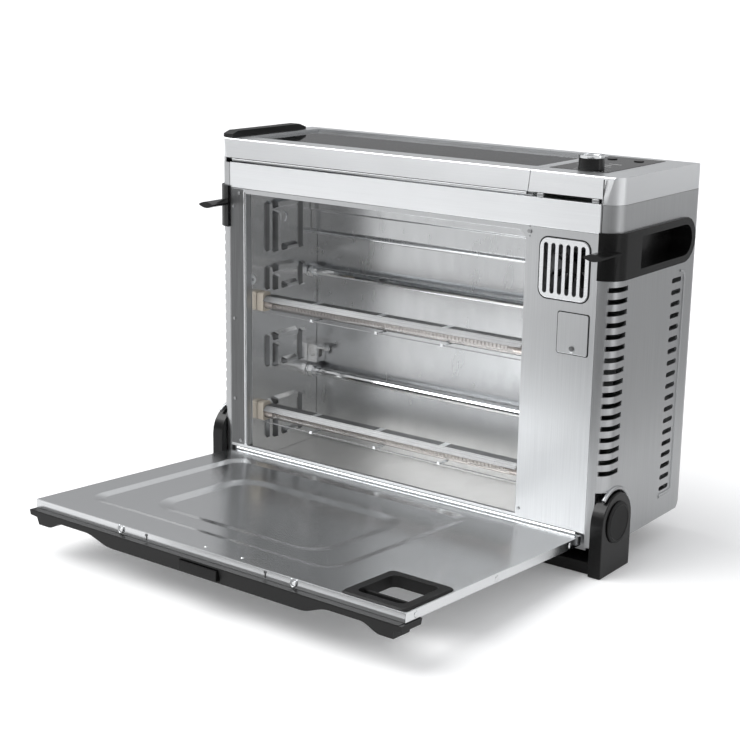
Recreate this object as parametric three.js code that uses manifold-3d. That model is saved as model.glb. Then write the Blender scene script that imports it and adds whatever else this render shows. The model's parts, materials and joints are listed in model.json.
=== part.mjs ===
// Flip-up countertop oven, standing upright on its back, with its underside door let down.
// Millimetres. +X is to the right, +Y goes from the oven's underside to its top, +Z is up.
// The origin is on the counter, in the plane of the underside, at the middle of the width.
import * as THREE from "three";
import { mergeVertices } from "three/addons/utils/BufferGeometryUtils.js";
import Module from "manifold-3d";

const wasm = await Module();
wasm.setup();

// ---------------------------------------------------------------- sizes
const bodyWidth = 500; // across the side panels
const bodyHeight = 393.1; // counter to the face of the glass door
const bodyDepth = 181; // underside sheet to top cover
const bayWidth = 98.5; // electronics bay, with its side panel
const sheet = 2; // outer sheet and panels
const liner = 1.2; // cavity sheet
const linerY = 8.4; // where the cavity's side walls begin, behind the underside sheet's folds
const gap = 0.3; // between pieces that touch
const frontEdgeR = 18; // panel bend at the underside
const rearEdgeR = 14; // panel bend at the top cover
const topRearR = 16; // door and bezel, upper rear edge
const panelLift = 27; // side panel above the counter
const panelChamfer = 21; // lower rear corner of each side panel

const faceDoorT = 20.5; // glass door, front to back
const faceLean = 3.6; // how far its lower edge leans back
const hingeGap = 4.9; // slot below the glass door
const railHeight = 27.95; // rail below the slot
const faceRodR = 1.6;
const glassMargin = 30; // frame around the glass
const glassT = 4;
const glassLap = 6; // glass held on each side
const gripLength = 128;
const gripWidth = 14;
const gripHeight = 7;

const frameBottom = 41.2; // lower edge of the underside sheet
const leftStile = 23.5;
const topRail = 5;
const bottomRail = 3;
const cornerCut = 6; // bevel in the opening's corner by the bay
const cavitySetback = 56; // back of the cavity in front of the top cover
const cavityStep = 12; // how far the cavity's top wall steps in
const cavityStepLevel = 280;
const cavityFloorZ = 26.3;
const rearPanelZ = 21.8; // outside of the oven's back
const embossDepth = 6;

const tubeR = 5.5; // quartz elements
const tubeInset = 23; // tubes behind the underside
const tubeLevels = [80.5, 208.5];
const rodR = 4.5; // metal elements
const rodSetback = 13; // rods in front of the cavity's back
const rodLevels = [113, 233.5];
const ceramicLength = 9;
const ceramicSide = 14;
const ceramicBelow = 8.5; // block below and above its tube
const ceramicAbove = 13.5;
const sensorLevel = 124;
const ovenFanLevel = 190;
const ovenFanY = 62;
const embossLevels = [[263, 324], [219, 251], [129, 171], [44, 94]]; // foot and top of each pressing

const grilleWidth = 54;
const grilleHeight = 58.5;
const grilleSlots = 6;
const grillePitch = 8.2;
const grilleSlot = 4.6;
const grilleProud = 1.2;
const coverWidth = 33.4;
const coverHeight = 40;

const ventPitchFront = 11.4;
const ventPitchRear = 12.2;
const ventSlot = 5;
const beadWidth = 2.4;

const handleHeight = 45.8;
const handleDrop = 51.7; // top of the handle below the glass door's face
const handleBackset = 17.5; // handle's end in front of the top cover
const handleProud = 3;
const cupDepth = 22;
const cupWall = 2;
const cupStart = 46;
const cupLip = 6.5;
const cupClear = 0.7;
const finThickness = 7;

const footWidth = 60;
const footThickness = 14;
const footProud = 5; // past the side panel
const footClear = 0.7; // beside the foot
const archClear = 2.3; // around the foot
const pivotZ = 52.35;
const pinR = 6;
const boreClear = 0.35;
const capR = 21.5;

const doorTilt = 3.6; // degrees that the open underside door rises towards its free edge
const doorNearY = 2.6; // its inner edge, when open
const doorNearZ = 37.5;
const doorFoot = 36; // the same edge, when closed
const doorInset = 3.6; // door narrower than the underside sheet, each side
const doorFlange = 9.5;
const doorSheet = 1.3;
const doorSeat = 3.2; // closed door's gap to the underside sheet
const doorShort = 2.8; // closed door's free edge below the sheet's top
const recessDepth = [1.8, 3.8];
const recessSlope = [9.5, 12]; // how far each step's wall leans in
const rodUnderR = 1.2;
const barDepth = 15.9;
const barReach = 7.8; // past the door's free edge
const barLip = 0.6; // bar's edge above the end of the sheet's fold
const barOverhang = 1.4; // bar past the door, each side
const restFront = -1; // front of the base that it stands on
const standGap = 0.45; // below the bar, with the oven down on its feet
const ductBorder = 8;
const ductProud = 1.7;
const ductSide = 4; // duct's middle, left of the grille's
const ductEdge = 40.2; // duct's middle to the free edge
const ductTall = 1.75; // duct longer than the grille, each way
const ductWall = 2;
const latchWidth = 46.8;
const latchHeight = 10.6;
const latchTravel = 3;

const dialR = 12.7;
const dialHeight = 15;
const dialInset = 40; // from the underside edge
const buttonR = 5;
const fanR = 23;
const ovenFanR = 42;

// ---------------------------------------------------------------- derived places
const designHeight = 393.1; // the height that all levels are laid out for
const stretch = (bodyHeight - frameBottom) / (designHeight - frameBottom);
const atLevel = (z) => frameBottom + (z - frameBottom) * stretch;
const cavityDepth = bodyDepth - cavitySetback;
const designDepth = 125; // the cavity depth that its pressings are laid out for
const narrow = (cavityDepth - linerY) / (designDepth - linerY);
const atInset = (y) => linerY + (y - linerY) * narrow;
const tubeY = atInset(tubeInset);
const cavityStepZ = atLevel(cavityStepLevel);
const tubeZ = tubeLevels.map(atLevel);
const rodZ = rodLevels.map(atLevel);
const rodY = cavityDepth - rodSetback;
const ovenFanZ = atLevel(ovenFanLevel);
const handleReach = bodyDepth - handleBackset;
const halfW = bodyWidth / 2;
const frontX = halfW - frontEdgeR; // half the underside sheet
const dividerX = halfW - bayWidth; // between glass door and control panel
const faceZ0 = bodyHeight - faceDoorT;
const railTop = faceZ0 - hingeGap;
const railBottom = railTop - railHeight;
const frameTop = railBottom - gap;
const openX0 = -frontX + leftStile;
const openX1 = dividerX;
const openZ0 = frameBottom + bottomRail;
const openZ1 = frameTop - topRail;
const cavityX0 = openX0 + liner;
const stack = doorSeat + doorFlange + barDepth; // all that closes below the underside
const pivotY = pivotZ - stack - standGap;
const footX1 = halfW + footProud;
const footX0 = footX1 - footThickness;
const archR = footWidth / 2 + archClear;
const handleZ1 = bodyHeight - handleDrop;
const handleZ0 = handleZ1 - handleHeight;
const cupY0 = cupStart - cupWall;
const cupY1 = handleReach - cupLip + cupWall - 1.5;
const cupZ0 = handleZ0 + cupLip - cupWall + 0.6;
const cupZ1 = handleZ1 - cupLip + cupWall - 0.6;
const finZ = handleZ0 + handleHeight * 0.575;
const finTip = -(stack + standGap) + 0.15;
const doorHalf = frontX - doorInset;
const doorLength = frameTop - doorShort - doorFoot;
const grilleX = dividerX + 44;
const grilleZ = frameTop - 9 - grilleHeight / 2;
const ductX = grilleX - ductSide;
const ductU = doorLength - ductEdge; // distance from the door's inner edge to the duct
const panelZ1 = railTop - 0.7; // side panel below the control panel
const doorSideX = -halfW + 0.6;

// ---------------------------------------------------------------- building blocks
function box(x0, x1, y0, y1, z0, z1) {
  const g = new THREE.BoxGeometry(x1 - x0, y1 - y0, z1 - z0);
  return g.translate((x0 + x1) / 2, (y0 + y1) / 2, (z0 + z1) / 2);
}

function prism(points, depth) {
  const shape = new THREE.Shape(points.map((p) => new THREE.Vector2(p[0], p[1])));
  return new THREE.ExtrudeGeometry(shape, { depth, bevelEnabled: false, steps: 1 });
}

// An outline in (x, y), raised along Z.
function prismZ(points, z0, z1) {
  return prism(points, z1 - z0).translate(0, 0, z0);
}

// An outline in (y, z), run along X.
function prismX(points, x0, x1) {
  const turn = new THREE.Matrix4().set(0, 0, 1, x0, 1, 0, 0, 0, 0, 1, 0, 0, 0, 0, 0, 1);
  return prism(points, x1 - x0).applyMatrix4(turn);
}

// An outline in (x, z), run along Y.
function prismY(points, y0, y1) {
  const turn = new THREE.Matrix4().set(1, 0, 0, 0, 0, 0, -1, y1, 0, 1, 0, 0, 0, 0, 0, 1);
  return prism(points, y1 - y0).applyMatrix4(turn);
}

function circle(a, b, r, n = 24) {
  const turn = (i) => ((i + 0.5) / n) * Math.PI * 2;
  return Array.from({ length: n }, (_, i) => [a + r * Math.cos(turn(i)), b + r * Math.sin(turn(i))]);
}

function arc(a, b, r, from, to, n) {
  const at = (i) => THREE.MathUtils.degToRad(from + ((to - from) * i) / n);
  return Array.from({ length: n + 1 }, (_, i) => [a + r * Math.cos(at(i)), b + r * Math.sin(at(i))]);
}

function rounded(a0, a1, b0, b1, r, n = 4) {
  return [
    ...arc(a1 - r, b0 + r, r, -90, 0, n),
    ...arc(a1 - r, b1 - r, r, 0, 90, n),
    ...arc(a0 + r, b1 - r, r, 90, 180, n),
    ...arc(a0 + r, b0 + r, r, 180, 270, n),
  ];
}

// A closed solid between two outlines with as many points, at two heights.
function loftZ(low, z0, high, z1) {
  const n = low.length;
  const at = [...low.map((p) => [...p, z0]), ...high.map((p) => [...p, z1])];
  const cap = THREE.ShapeUtils.triangulateShape(low.map((p) => new THREE.Vector2(...p)), []);
  const index = [];
  for (const [i, j, k] of cap) index.push(i, k, j, i + n, j + n, k + n);
  for (let i = 0; i < n; i++) {
    const j = (i + 1) % n;
    index.push(i, j, j + n, i, j + n, i + n);
  }
  const g = new THREE.BufferGeometry();
  g.setAttribute("position", new THREE.Float32BufferAttribute(at.flat(), 3));
  g.setIndex(index);
  return g;
}

function mirrored(g) {
  const plain = g.index ? g.toNonIndexed() : g.clone();
  const p = plain.getAttribute("position");
  for (let i = 0; i < p.count; i += 3) {
    const [x, y, z] = [p.getX(i + 1), p.getY(i + 1), p.getZ(i + 1)];
    p.setXYZ(i + 1, p.getX(i + 2), p.getY(i + 2), p.getZ(i + 2));
    p.setXYZ(i + 2, x, y, z);
  }
  for (let i = 0; i < p.count; i++) p.setX(i, -p.getX(i));
  return plain;
}

function solid(g) {
  if (g instanceof wasm.Manifold) return g;
  const plain = g.clone();
  for (const name of Object.keys(plain.attributes)) if (name !== "position") plain.deleteAttribute(name);
  const m = mergeVertices(plain, 1e-4);
  return new wasm.Manifold(
    new wasm.Mesh({
      numProp: 3,
      vertProperties: new Float32Array(m.getAttribute("position").array),
      triVerts: new Uint32Array(m.index.array),
    })
  );
}

const join = (first, ...rest) => rest.reduce((a, b) => a.add(solid(b)), solid(first));
const cut = (first, ...rest) => rest.reduce((a, b) => a.subtract(solid(b)), solid(first));
const common = (a, b) => solid(a).intersect(solid(b));

function geometry(s) {
  if (!(s instanceof wasm.Manifold)) return s;
  const m = s.getMesh();
  const g = new THREE.BufferGeometry();
  g.setAttribute("position", new THREE.Float32BufferAttribute(m.vertProperties, 3));
  g.setIndex(new THREE.Uint32BufferAttribute(m.triVerts, 1));
  g.computeVertexNormals();
  return g;
}

const finish = (color, metalness, roughness, extra = {}) =>
  new THREE.MeshStandardMaterial({ color, metalness, roughness, flatShading: true, ...extra });

const steel = finish(0xc3c6c7, 1, 0.32);
const satin = finish(0x9a9ea1, 1, 0.38);
const bright = finish(0xd7dadb, 1, 0.25);
const chrome = finish(0xe2e5e6, 1, 0.08);
const black = finish(0x17181a, 0, 0.55);
const gloss = finish(0x1d1a18, 0, 0.12);
const glassy = finish(0x30353a, 0, 0.05, { transparent: true, opacity: 0.45 });
const quartz = finish(0xd9c9c0, 0, 0.15, { transparent: true, opacity: 0.8 });
const ceramic = finish(0xcfc7bb, 0, 0.7);
const board = finish(0x2f5a3c, 0, 0.6);

function add(group, name, shape, material) {
  const mesh = new THREE.Mesh(geometry(shape), material);
  mesh.name = name;
  group.add(mesh);
  return mesh;
}

const root = new THREE.Group();
const stand = new THREE.Group();
const housing = new THREE.Group();
root.add(stand, housing);

// ---------------------------------------------------------------- pivoting feet
function footOutline(r) {
  return [
    [pivotY - r, 0],
    [pivotY + r, 0],
    ...arc(pivotY, pivotZ, r, 0, 180, 12),
  ];
}

function foot() {
  const blank = prismX(footOutline(footWidth / 2), footX0, footX1);
  const bore = prismX(circle(pivotY, pivotZ, pinR + boreClear, 16), footX0 - 1, footX1 + 1);
  return geometry(cut(blank, bore));
}

// A cover disc outside the foot, in one piece with the pin that carries the housing.
function pivot() {
  const profile = [
    new THREE.Vector2(0, 0),
    new THREE.Vector2(pinR, 0),
    new THREE.Vector2(pinR, footThickness + 9),
    new THREE.Vector2(capR, footThickness + 9),
    new THREE.Vector2(capR, footThickness + 10.2),
    new THREE.Vector2(capR - 1, footThickness + 10.8),
    new THREE.Vector2(0, footThickness + 10.8),
  ];
  const g = new THREE.LatheGeometry(profile, 24).rotateZ(-Math.PI / 2);
  return g.translate(footX0 - 9 + gap, pivotY, pivotZ);
}

add(stand, "foot_right", foot(), black);
add(stand, "foot_left", mirrored(foot()), black);
add(stand, "foot_pivot_right", geometry(solid(pivot())), black);
add(stand, "foot_pivot_left", mirrored(geometry(solid(pivot()))), black);

// ---------------------------------------------------------------- side panels
function panelOutline(grow) {
  const o = grow;
  const outer = [
    [frontX + gap, -o],
    ...arc(frontX, frontEdgeR, frontEdgeR + o, -89, 0, 6),
    ...arc(halfW - rearEdgeR, bodyDepth - rearEdgeR, rearEdgeR + o, 0, 90, 5),
  ];
  return outer;
}

function panelShell(z0, z1) {
  const outer = panelOutline(0);
  const inner = panelOutline(-sheet).reverse();
  return prismZ([...outer, ...inner], z0, z1);
}

// All the room that the foot needs as the housing swings over it.
function footRoom(x0, x1) {
  const r = archR;
  const disc = prismX(circle(pivotY, pivotZ, r, 32), x0, x1);
  const front = box(x0, x1, -60, pivotY, -60, pivotZ + r);
  const below = box(x0, x1, -60, pivotY + r, -60, pivotZ);
  return join(disc, front, below);
}

function ventRows(from, to, pitch, y0, y1, x0, x1) {
  const rows = [];
  for (let z = from; z <= to + 0.01; z += pitch) {
    const h = ventSlot / 2;
    rows.push(prismX(rounded(y0, y1, z - h, z + h, h * 0.9, 2), x0, x1));
  }
  return rows;
}

function sidePanel(top, besideDoor) {
  let s = solid(panelShell(panelLift, top));
  const c = bodyDepth - panelChamfer;
  const rearCorner = [
    [c - 30, rearPanelZ - 30],
    [c + 50, rearPanelZ - 30],
    [c + 50, rearPanelZ + 50],
  ];
  s = cut(s, prismX(rearCorner, halfW - 40, halfW + 5), footRoom(footX0 - footClear, halfW + 20));
  const front = [];
  const z0 = pivotZ + archR + 19.6;
  for (let z = z0; z <= handleZ0 - 8.8; z += ventPitchFront) {
    front.push(box(halfW - 8.5, halfW + 5, -2, frontEdgeR + 10, z - ventSlot / 2, z + ventSlot / 2));
  }
  const y0 = bodyDepth - 59;
  const rear = ventRows(panelLift + 32, handleZ0 - 14, ventPitchRear, y0, y0 + 20.7, halfW - 6,
    halfW + 5);
  s = cut(s, ...front, ...rear);
  // the handle's cup passes through the panel
  s = cut(s, box(halfW - 40, halfW + 5, cupY0 - cupClear, cupY1 + cupClear, cupZ0 - cupClear,
    cupZ1 + cupClear));
  const b = bodyDepth - 33;
  const x0 = halfW - 0.5;
  const x1 = halfW + 0.9;
  s = join(s, box(x0, x1, b, b + beadWidth, panelLift + 26, handleZ0 - 10));
  s = join(s, box(x0, x1, b - 26, b + beadWidth, panelLift + 22, panelLift + 22 + beadWidth + 2));
  // the glass door's corner turns past the front of its side panel
  return besideDoor ? cut(s, box(frontX - 5, halfW + 5, -2, 8, panelZ1, top + 5)) : s;
}

add(housing, "side_panel_right", sidePanel(panelZ1, false), satin);
add(housing, "side_panel_left", mirrored(geometry(sidePanel(faceZ0 - gap, true))), satin);

// ---------------------------------------------------------------- outer sheets
const coverX = halfW - rearEdgeR - gap;
const chamferY = bodyDepth - panelChamfer;
function topCover() {
  const [d, z] = [bodyDepth, faceZ0 - gap];
  const bend = rearPanelZ + panelChamfer;
  return prismX(
    [[d, bend], [d, z], [d - sheet, z], [d - sheet, bend + sheet * 0.4],
      [chamferY - sheet * 0.4, rearPanelZ + sheet],
      [chamferY, rearPanelZ]],
    -coverX,
    coverX
  );
}
add(housing, "top_cover", topCover(), satin);

function rearPanel() {
  const x = frontX - 0.6;
  const end = chamferY - sheet;
  const plate = box(-x, x, 5, end, rearPanelZ, rearPanelZ + 1.6);
  const upstand = box(-x, x, 5, 6.3, rearPanelZ, openZ0 - gap);
  let s = join(plate, upstand);
  for (let i = -4; i <= 4; i++) {
    const slot = box(i * 22 - 8, i * 22 + 8, end - 22, end - 18, rearPanelZ - 2, rearPanelZ + 4);
    s = cut(s, slot);
  }
  return s;
}
add(housing, "rear_panel", rearPanel(), satin);

function baseFrame() {
  const plate = prismY(
    [
      [-frontX, frameBottom],
      [frontX, frameBottom],
      [frontX, frameTop],
      [-frontX, frameTop],
    ],
    0,
    sheet
  );
  const opening = prismY(
    [
      [openX0, openZ0],
      [openX1, openZ0],
      [openX1, openZ1 - cornerCut],
      [openX1 - cornerCut, openZ1],
      [openX0, openZ1],
    ],
    -1,
    sheet + 1
  );
  const air = prismY(
    rounded(
      grilleX - grilleWidth / 2 + 2.5,
      grilleX + grilleWidth / 2 - 2.5,
      grilleZ - grilleHeight / 2 + 2.5,
      grilleZ + grilleHeight / 2 - 2.5,
      7
    ),
    -1,
    sheet + 1
  );
  const lip = box(openX0 - 1.4, openX0, 0, 8, openZ0, openZ1);
  return join(cut(plate, opening, air), lip);
}
add(housing, "base_frame", baseFrame(), steel);

function lowerRail() {
  const t = 1.6;
  const outline = [
    [0, railBottom],
    [t, railBottom],
    [t, railTop - t],
    [7, railTop - t],
    [7, railTop],
    [0, railTop],
  ];
  return prismX(outline, -frontX, frontX);
}
add(housing, "lower_rail", lowerRail(), steel);
add(
  housing,
  "face_hinge_rod",
  prismX(circle(2, faceZ0 - 2, faceRodR, 12), -frontX + 3, dividerX - 2),
  chrome
);

// The flange around the mouth of the oven, behind the glass door.
function frontFrame() {
  const z = railTop + 0.6;
  const plate = box(-halfW + sheet + gap, dividerX + 1.4, 8, bodyDepth - sheet - gap, z, z + 1.6);
  const mouth = box(cavityX0 + liner, dividerX - 0.5, 12, cavityDepth - cavityStep - 4, z - 1, z + 3);
  const corner = box(-halfW, -frontX - 1, -1, frontEdgeR, z - 1, z + 3);
  const rearCorner = box(-halfW, -coverX - gap, bodyDepth - rearEdgeR - 1, bodyDepth, z - 1, z + 3);
  return cut(plate, mouth, corner, rearCorner);
}
add(housing, "mouth_flange", frontFrame(), bright);

// ---------------------------------------------------------------- cavity
const cavityTop = railTop + gap;
function embossed() {
  const x = cavityX0 - liner;
  let s = solid(box(x, cavityX0, linerY, cavityDepth + liner, cavityFloorZ, cavityTop));
  const bump = (y0, y1, z0, z1, h) => {
    const low = rounded(y0, y1, z0, z1, 2, 1);
    const e = Math.min(3, (y1 - y0) / 4);
    const high = rounded(y0 + e, y1 - e, z0 + e, z1 - e, 1, 1);
    const turn = new THREE.Matrix4().set(0, 0, 1, 0, 1, 0, 0, 0, 0, 1, 0, 0, 0, 0, 0, 1);
    return loftZ(low, cavityX0 - 0.4, high, cavityX0 + h).applyMatrix4(turn);
  };
  for (const [z0, z1] of embossLevels.map((pair) => pair.map(atLevel))) {
    s = join(s, bump(tubeY + 8.5, atInset(41.5), z0 + 2, z1 - 1, embossDepth - 2));
    s = join(s, bump(atInset(44), rodY - 26, z1 - 11, z1, embossDepth));
    s = join(s, bump(atInset(44), atInset(55), z0, z1 - 13, embossDepth));
    s = join(s, bump(atInset(60), rodY - 26, z0, z0 + 9, embossDepth));
    s = join(s, bump(rodY - 9 - 13 * narrow, rodY - 9, z0 - 1, z1 - 4, embossDepth - 2));
  }
  return s;
}
add(housing, "cavity_left", embossed(), bright);

function cavityRight() {
  const x = dividerX + 0.2;
  let s = solid(box(x, x + liner, linerY, cavityDepth + liner, cavityFloorZ, cavityTop));
  const [y, z] = [ovenFanY, ovenFanZ];
  const slots = [];
  for (let ring = 0; ring < 2; ring++) {
    const n = ring ? 12 : 6;
    const r = ring ? 30 : 15;
    for (let i = 0; i < n; i++) {
      const a = (i / n) * Math.PI * 2;
      slots.push(box(x - 2, x + 4, y + r * Math.cos(a) - 2.5, y + r * Math.cos(a) + 2.5,
        z + r * Math.sin(a) - 2.5, z + r * Math.sin(a) + 2.5));
    }
  }
  return cut(s, ...slots);
}
add(housing, "cavity_right", cavityRight(), bright);

function cavityBack() {
  const [y, t, s] = [cavityDepth, liner, cavityStep];
  const z0 = cavityFloorZ;
  const ledge = cavityStepZ;
  const inner = [
    [y, z0],
    [y, ledge],
    [y - s, ledge + 3],
    [y - s, ledge + 24],
    [y - s - 2, ledge + 26],
    [y - s - 2, cavityTop],
  ];
  const outer = inner.map(([a, b], i) => [a + t, i === 0 ? b : i === 5 ? b : b + (i < 3 ? t : 0.4)]);
  return prismX([...inner.reverse(), ...outer], cavityX0 + gap, dividerX - 0.1);
}
add(housing, "cavity_back", cavityBack(), bright);
add(
  housing,
  "cavity_floor",
  box(cavityX0 - liner, dividerX + 1.2, linerY - 1.6, cavityDepth + liner,
    cavityFloorZ - 0.3 - liner, cavityFloorZ - 0.3),
  bright
);

// ---------------------------------------------------------------- heating
const wallL = cavityX0 + gap;
const wallR = dividerX + 0.2 - gap;
tubeZ.forEach((z, i) => {
  const n = i + 1;
  const h = ceramicSide / 2;
  const end = (x0, x1) => cut(
    prismX(rounded(tubeY - h, tubeY + h, z - ceramicBelow, z + ceramicAbove, 3, 2), x0, x1),
    prismX(circle(tubeY, z, 2.2, 8), x0 - 1, x1 + 1)
  );
  add(housing, `tube_end_${n}_left`, end(wallL, wallL + ceramicLength), ceramic);
  add(housing, `tube_end_${n}_right`, end(wallR - ceramicLength, wallR), ceramic);
  const a = wallL + ceramicLength + gap;
  const b = wallR - ceramicLength - gap;
  add(housing, `quartz_tube_${n}`, prismX(circle(tubeY, z, tubeR, 16), a, b), quartz);
  // A thin trough over each tube, with three straps around it.
  const t = 1;
  const g0 = tubeY - 9;
  const g1 = tubeY + 9;
  const roof = box(a, b, g0, g1, z + 9, z + 9 + t);
  const back = box(a, b, g1 - t, g1, z - 4, z + 9 + t);
  let s = join(roof, back);
  for (let k = 0; k < 3; k++) {
    const x = a + (b - a) * (0.21 + k * 0.255);
    const strap = cut(
      box(x, x + 3, g0, g1, z - 9, z + 9 + t),
      box(x - 1, x + 4, g0 + t, g1 - t, z - 9 + t, z + 9)
    );
    s = join(s, strap);
  }
  const slots = [];
  const bays = 14;
  for (let k = 0; k < bays; k++) {
    const x = a + ((b - a) * (k + 0.25)) / bays;
    slots.push(box(x, x + ((b - a) * 0.5) / bays, g0 + 4, g1 - 5, z + 8, z + 12));
  }
  add(housing, `tube_guard_${n}`, cut(s, ...slots), bright);
});
rodZ.forEach((z, i) => {
  const n = i + 1;
  const fit = circle(rodY, z, rodR + 3.6, 6);
  const hole = prismX(circle(rodY, z, rodR + gap, 12), wallL - 1, wallL + 14);
  add(housing, `rod_fitting_${n}`, cut(prismX(fit, wallL, wallL + 11), hole), chrome);
  add(housing, `heater_rod_${n}`, prismX(circle(rodY, z, rodR, 12), wallL + 2, wallR), chrome);
});
const trimZ = cavityStepZ - 3;
add(
  housing,
  "trim_rod",
  prismX(circle(cavityDepth - 6, trimZ, 1.5, 8), wallL + 1, wallR),
  chrome
);
function sensor() {
  const z = atLevel(sensorLevel);
  const block = box(wallL, wallL + 13, rodY - 4, cavityDepth - gap, z, z + 21);
  const slot = box(wallL + 3, wallL + 20, rodY, cavityDepth - 6, z + 6, z + 15);
  const arm = prismX(circle(rodY + 3, z + 17, 2.5, 8), wallL + 12, wallL + 26);
  return join(cut(block, slot), arm);
}
add(housing, "sensor_bracket", sensor(), bright);

// ---------------------------------------------------------------- underside fittings
function grille() {
  const [w, h] = [grilleWidth / 2, grilleHeight / 2];
  const outer = prismY(rounded(grilleX - w, grilleX + w, grilleZ - h, grilleZ + h, 9), -grilleProud,
    -gap);
  const slots = [];
  for (let i = 0; i < grilleSlots; i++) {
    const x = grilleX + (i - (grilleSlots - 1) / 2) * grillePitch;
    const r = grilleSlot / 2;
    slots.push(prismY(rounded(x - r, x + r, grilleZ - h + 4.5, grilleZ + h - 4.5, r * 0.95, 2), -5, 2));
  }
  return cut(outer, ...slots);
}
add(housing, "intake_grille", grille(), steel);
const coverX0 = dividerX + 40;
const coverZ1 = grilleZ - grilleHeight / 2 - 12;
function accessCover() {
  const plate = prismY(rounded(coverX0, coverX0 + coverWidth, coverZ1 - coverHeight, coverZ1, 2, 2),
    -1.1, -gap);
  const head = prismY(circle(coverX0 + 16.7, coverZ1 - coverHeight + 4.4, 2.7, 12), -1.9, -0.6);
  return join(plate, head);
}
add(housing, "access_cover", accessCover(), steel);

function sideHandle() {
  const band = (o) => panelOutline(o).slice(0, 8);
  const reach = handleReach - 20;
  const outer = [...band(handleProud), [halfW + handleProud, reach + 20]];
  const inner = [...band(gap), [halfW + gap, reach + 20]].reverse();
  let s = solid(prismZ([...outer, ...inner], handleZ0, handleZ1));
  const h = handleHeight / 2;
  const end = [
    [-40, handleZ0],
    [handleReach - h, handleZ0],
    ...arc(handleReach - h, handleZ0 + h, h, -80, 80, 8),
    [handleReach - h, handleZ1],
    [-40, handleZ1],
  ];
  s = common(s, prismX(end, frontX - 5, halfW + 10));
  const cupX = halfW - cupDepth;
  const r = (cupZ1 - cupZ0) / 2;
  const cup = (e, x0, x1) => prismX([
    ...arc(cupY1 - r, cupZ0 + r, r - e, -90, 90, 8),
    [cupY0 + e, cupZ1 - e],
    [cupY0 + e, cupZ0 + e],
  ], x0, x1);
  s = join(s, cup(0, cupX, halfW + handleProud));
  s = cut(s, cup(cupWall, cupX + cupWall, halfW + 20));
  const n = 10;
  const fin = [];
  const [fx, fw] = [frontX + 9.6, 10];
  for (let i = 0; i <= n; i++) fin.push([fx - fw + (2 * fw * i) / n, -1]);
  const lens = [
    ...fin.map(([x]) => [x,
      finZ - (finThickness / 2) * (0.25 + 0.75 * Math.sin(((x - fx + fw) / (2 * fw)) * Math.PI))]),
    ...fin.reverse().map(([x]) => [x,
      finZ + (finThickness / 2) * (0.25 + 0.75 * Math.sin(((x - fx + fw) / (2 * fw)) * Math.PI))]),
  ];
  const blade = cut(
    prismY(lens, finTip, frontEdgeR),
    prismZ([...panelOutline(gap + 0.9), [0, bodyDepth], [0, -gap - 0.9]], handleZ0 - 5, handleZ1 + 5)
  );
  return join(s, blade);
}
add(housing, "side_handle_right", sideHandle(), black);
add(housing, "side_handle_left", mirrored(geometry(sideHandle())), black);

// Steel plates that carry the pivot pins, at the back of each foot's pocket.
function bracket() {
  const x1 = footX0 - footClear;
  const y1 = pivotY + archR;
  const z0 = rearPanelZ + 2;
  const z1 = pivotZ + archR + 3;
  const plate = box(x1 - sheet, x1, sheet + 3, y1, z0, z1);
  return cut(plate, prismX(circle(pivotY, pivotZ, pinR + boreClear, 16), x1 - sheet - 1, x1 + 1));
}
add(housing, "pivot_bracket_right", bracket(), satin);
add(housing, "pivot_bracket_left", mirrored(geometry(bracket())), satin);

// The base that the standing oven rests on: a bar by the feet, and a pad at each rear corner.
function restBase() {
  const x = footX0 - 0.9;
  const top = rearPanelZ - gap;
  const y0 = restFront;
  const bar = prismX([[y0, 0], [y0 + 66, 0], [y0 + 66, top], [y0 + 32, top], [y0 + 28, 12.5],
    [y0, 12.5]], -x, x);
  let s = solid(bar);
  for (const side of [-1, 1]) {
    const c = side * halfW * 0.5;
    s = join(s, box(c - 9, c + 9, y0 + 60, bodyDepth - 20, 10, top));
    s = join(s, box(c - 16, c + 16, bodyDepth - 44, bodyDepth - 20, 0, top));
  }
  return s;
}
add(housing, "rest_base", restBase(), black);
const glandTop = rearPanelZ - gap;
add(
  housing,
  "cord_gland",
  prismZ(circle(frontX - 34, bodyDepth - 36, 8.5, 12), 7, glandTop),
  black
);

// ---------------------------------------------------------------- control panel
function planSlab(x0, x1, z0, z1, right) {
  // the top end of the body in plan, rounded where it meets the side
  const [f, r] = [frontEdgeR, rearEdgeR];
  const pts = right
    ? [[x0, 0], ...arc(x1 - f, f, f, -90, 0, 6), ...arc(x1 - r, bodyDepth - r, r, 0, 90, 5),
      [x0, bodyDepth]]
    : [[x1, 0], [x1, bodyDepth], ...arc(x0 + r, bodyDepth - r, r, 90, 180, 5),
      ...arc(x0 + f, f, f, 180, 270, 6)];
  return prismZ(pts, z0, z1);
}

function leanFace(x0, x1, z0) {
  const [e, r] = [0.8, topRearR];
  const pts = [
    [0, faceZ0],
    [faceLean, bodyHeight - e],
    [faceLean + e, bodyHeight],
    ...arc(bodyDepth - r, bodyHeight - r, r, 90, 0, 8),
    [bodyDepth, z0],
  ];
  return prismX(z0 < faceZ0 ? [...pts, [0, z0]] : pts, x0, x1);
}

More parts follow.
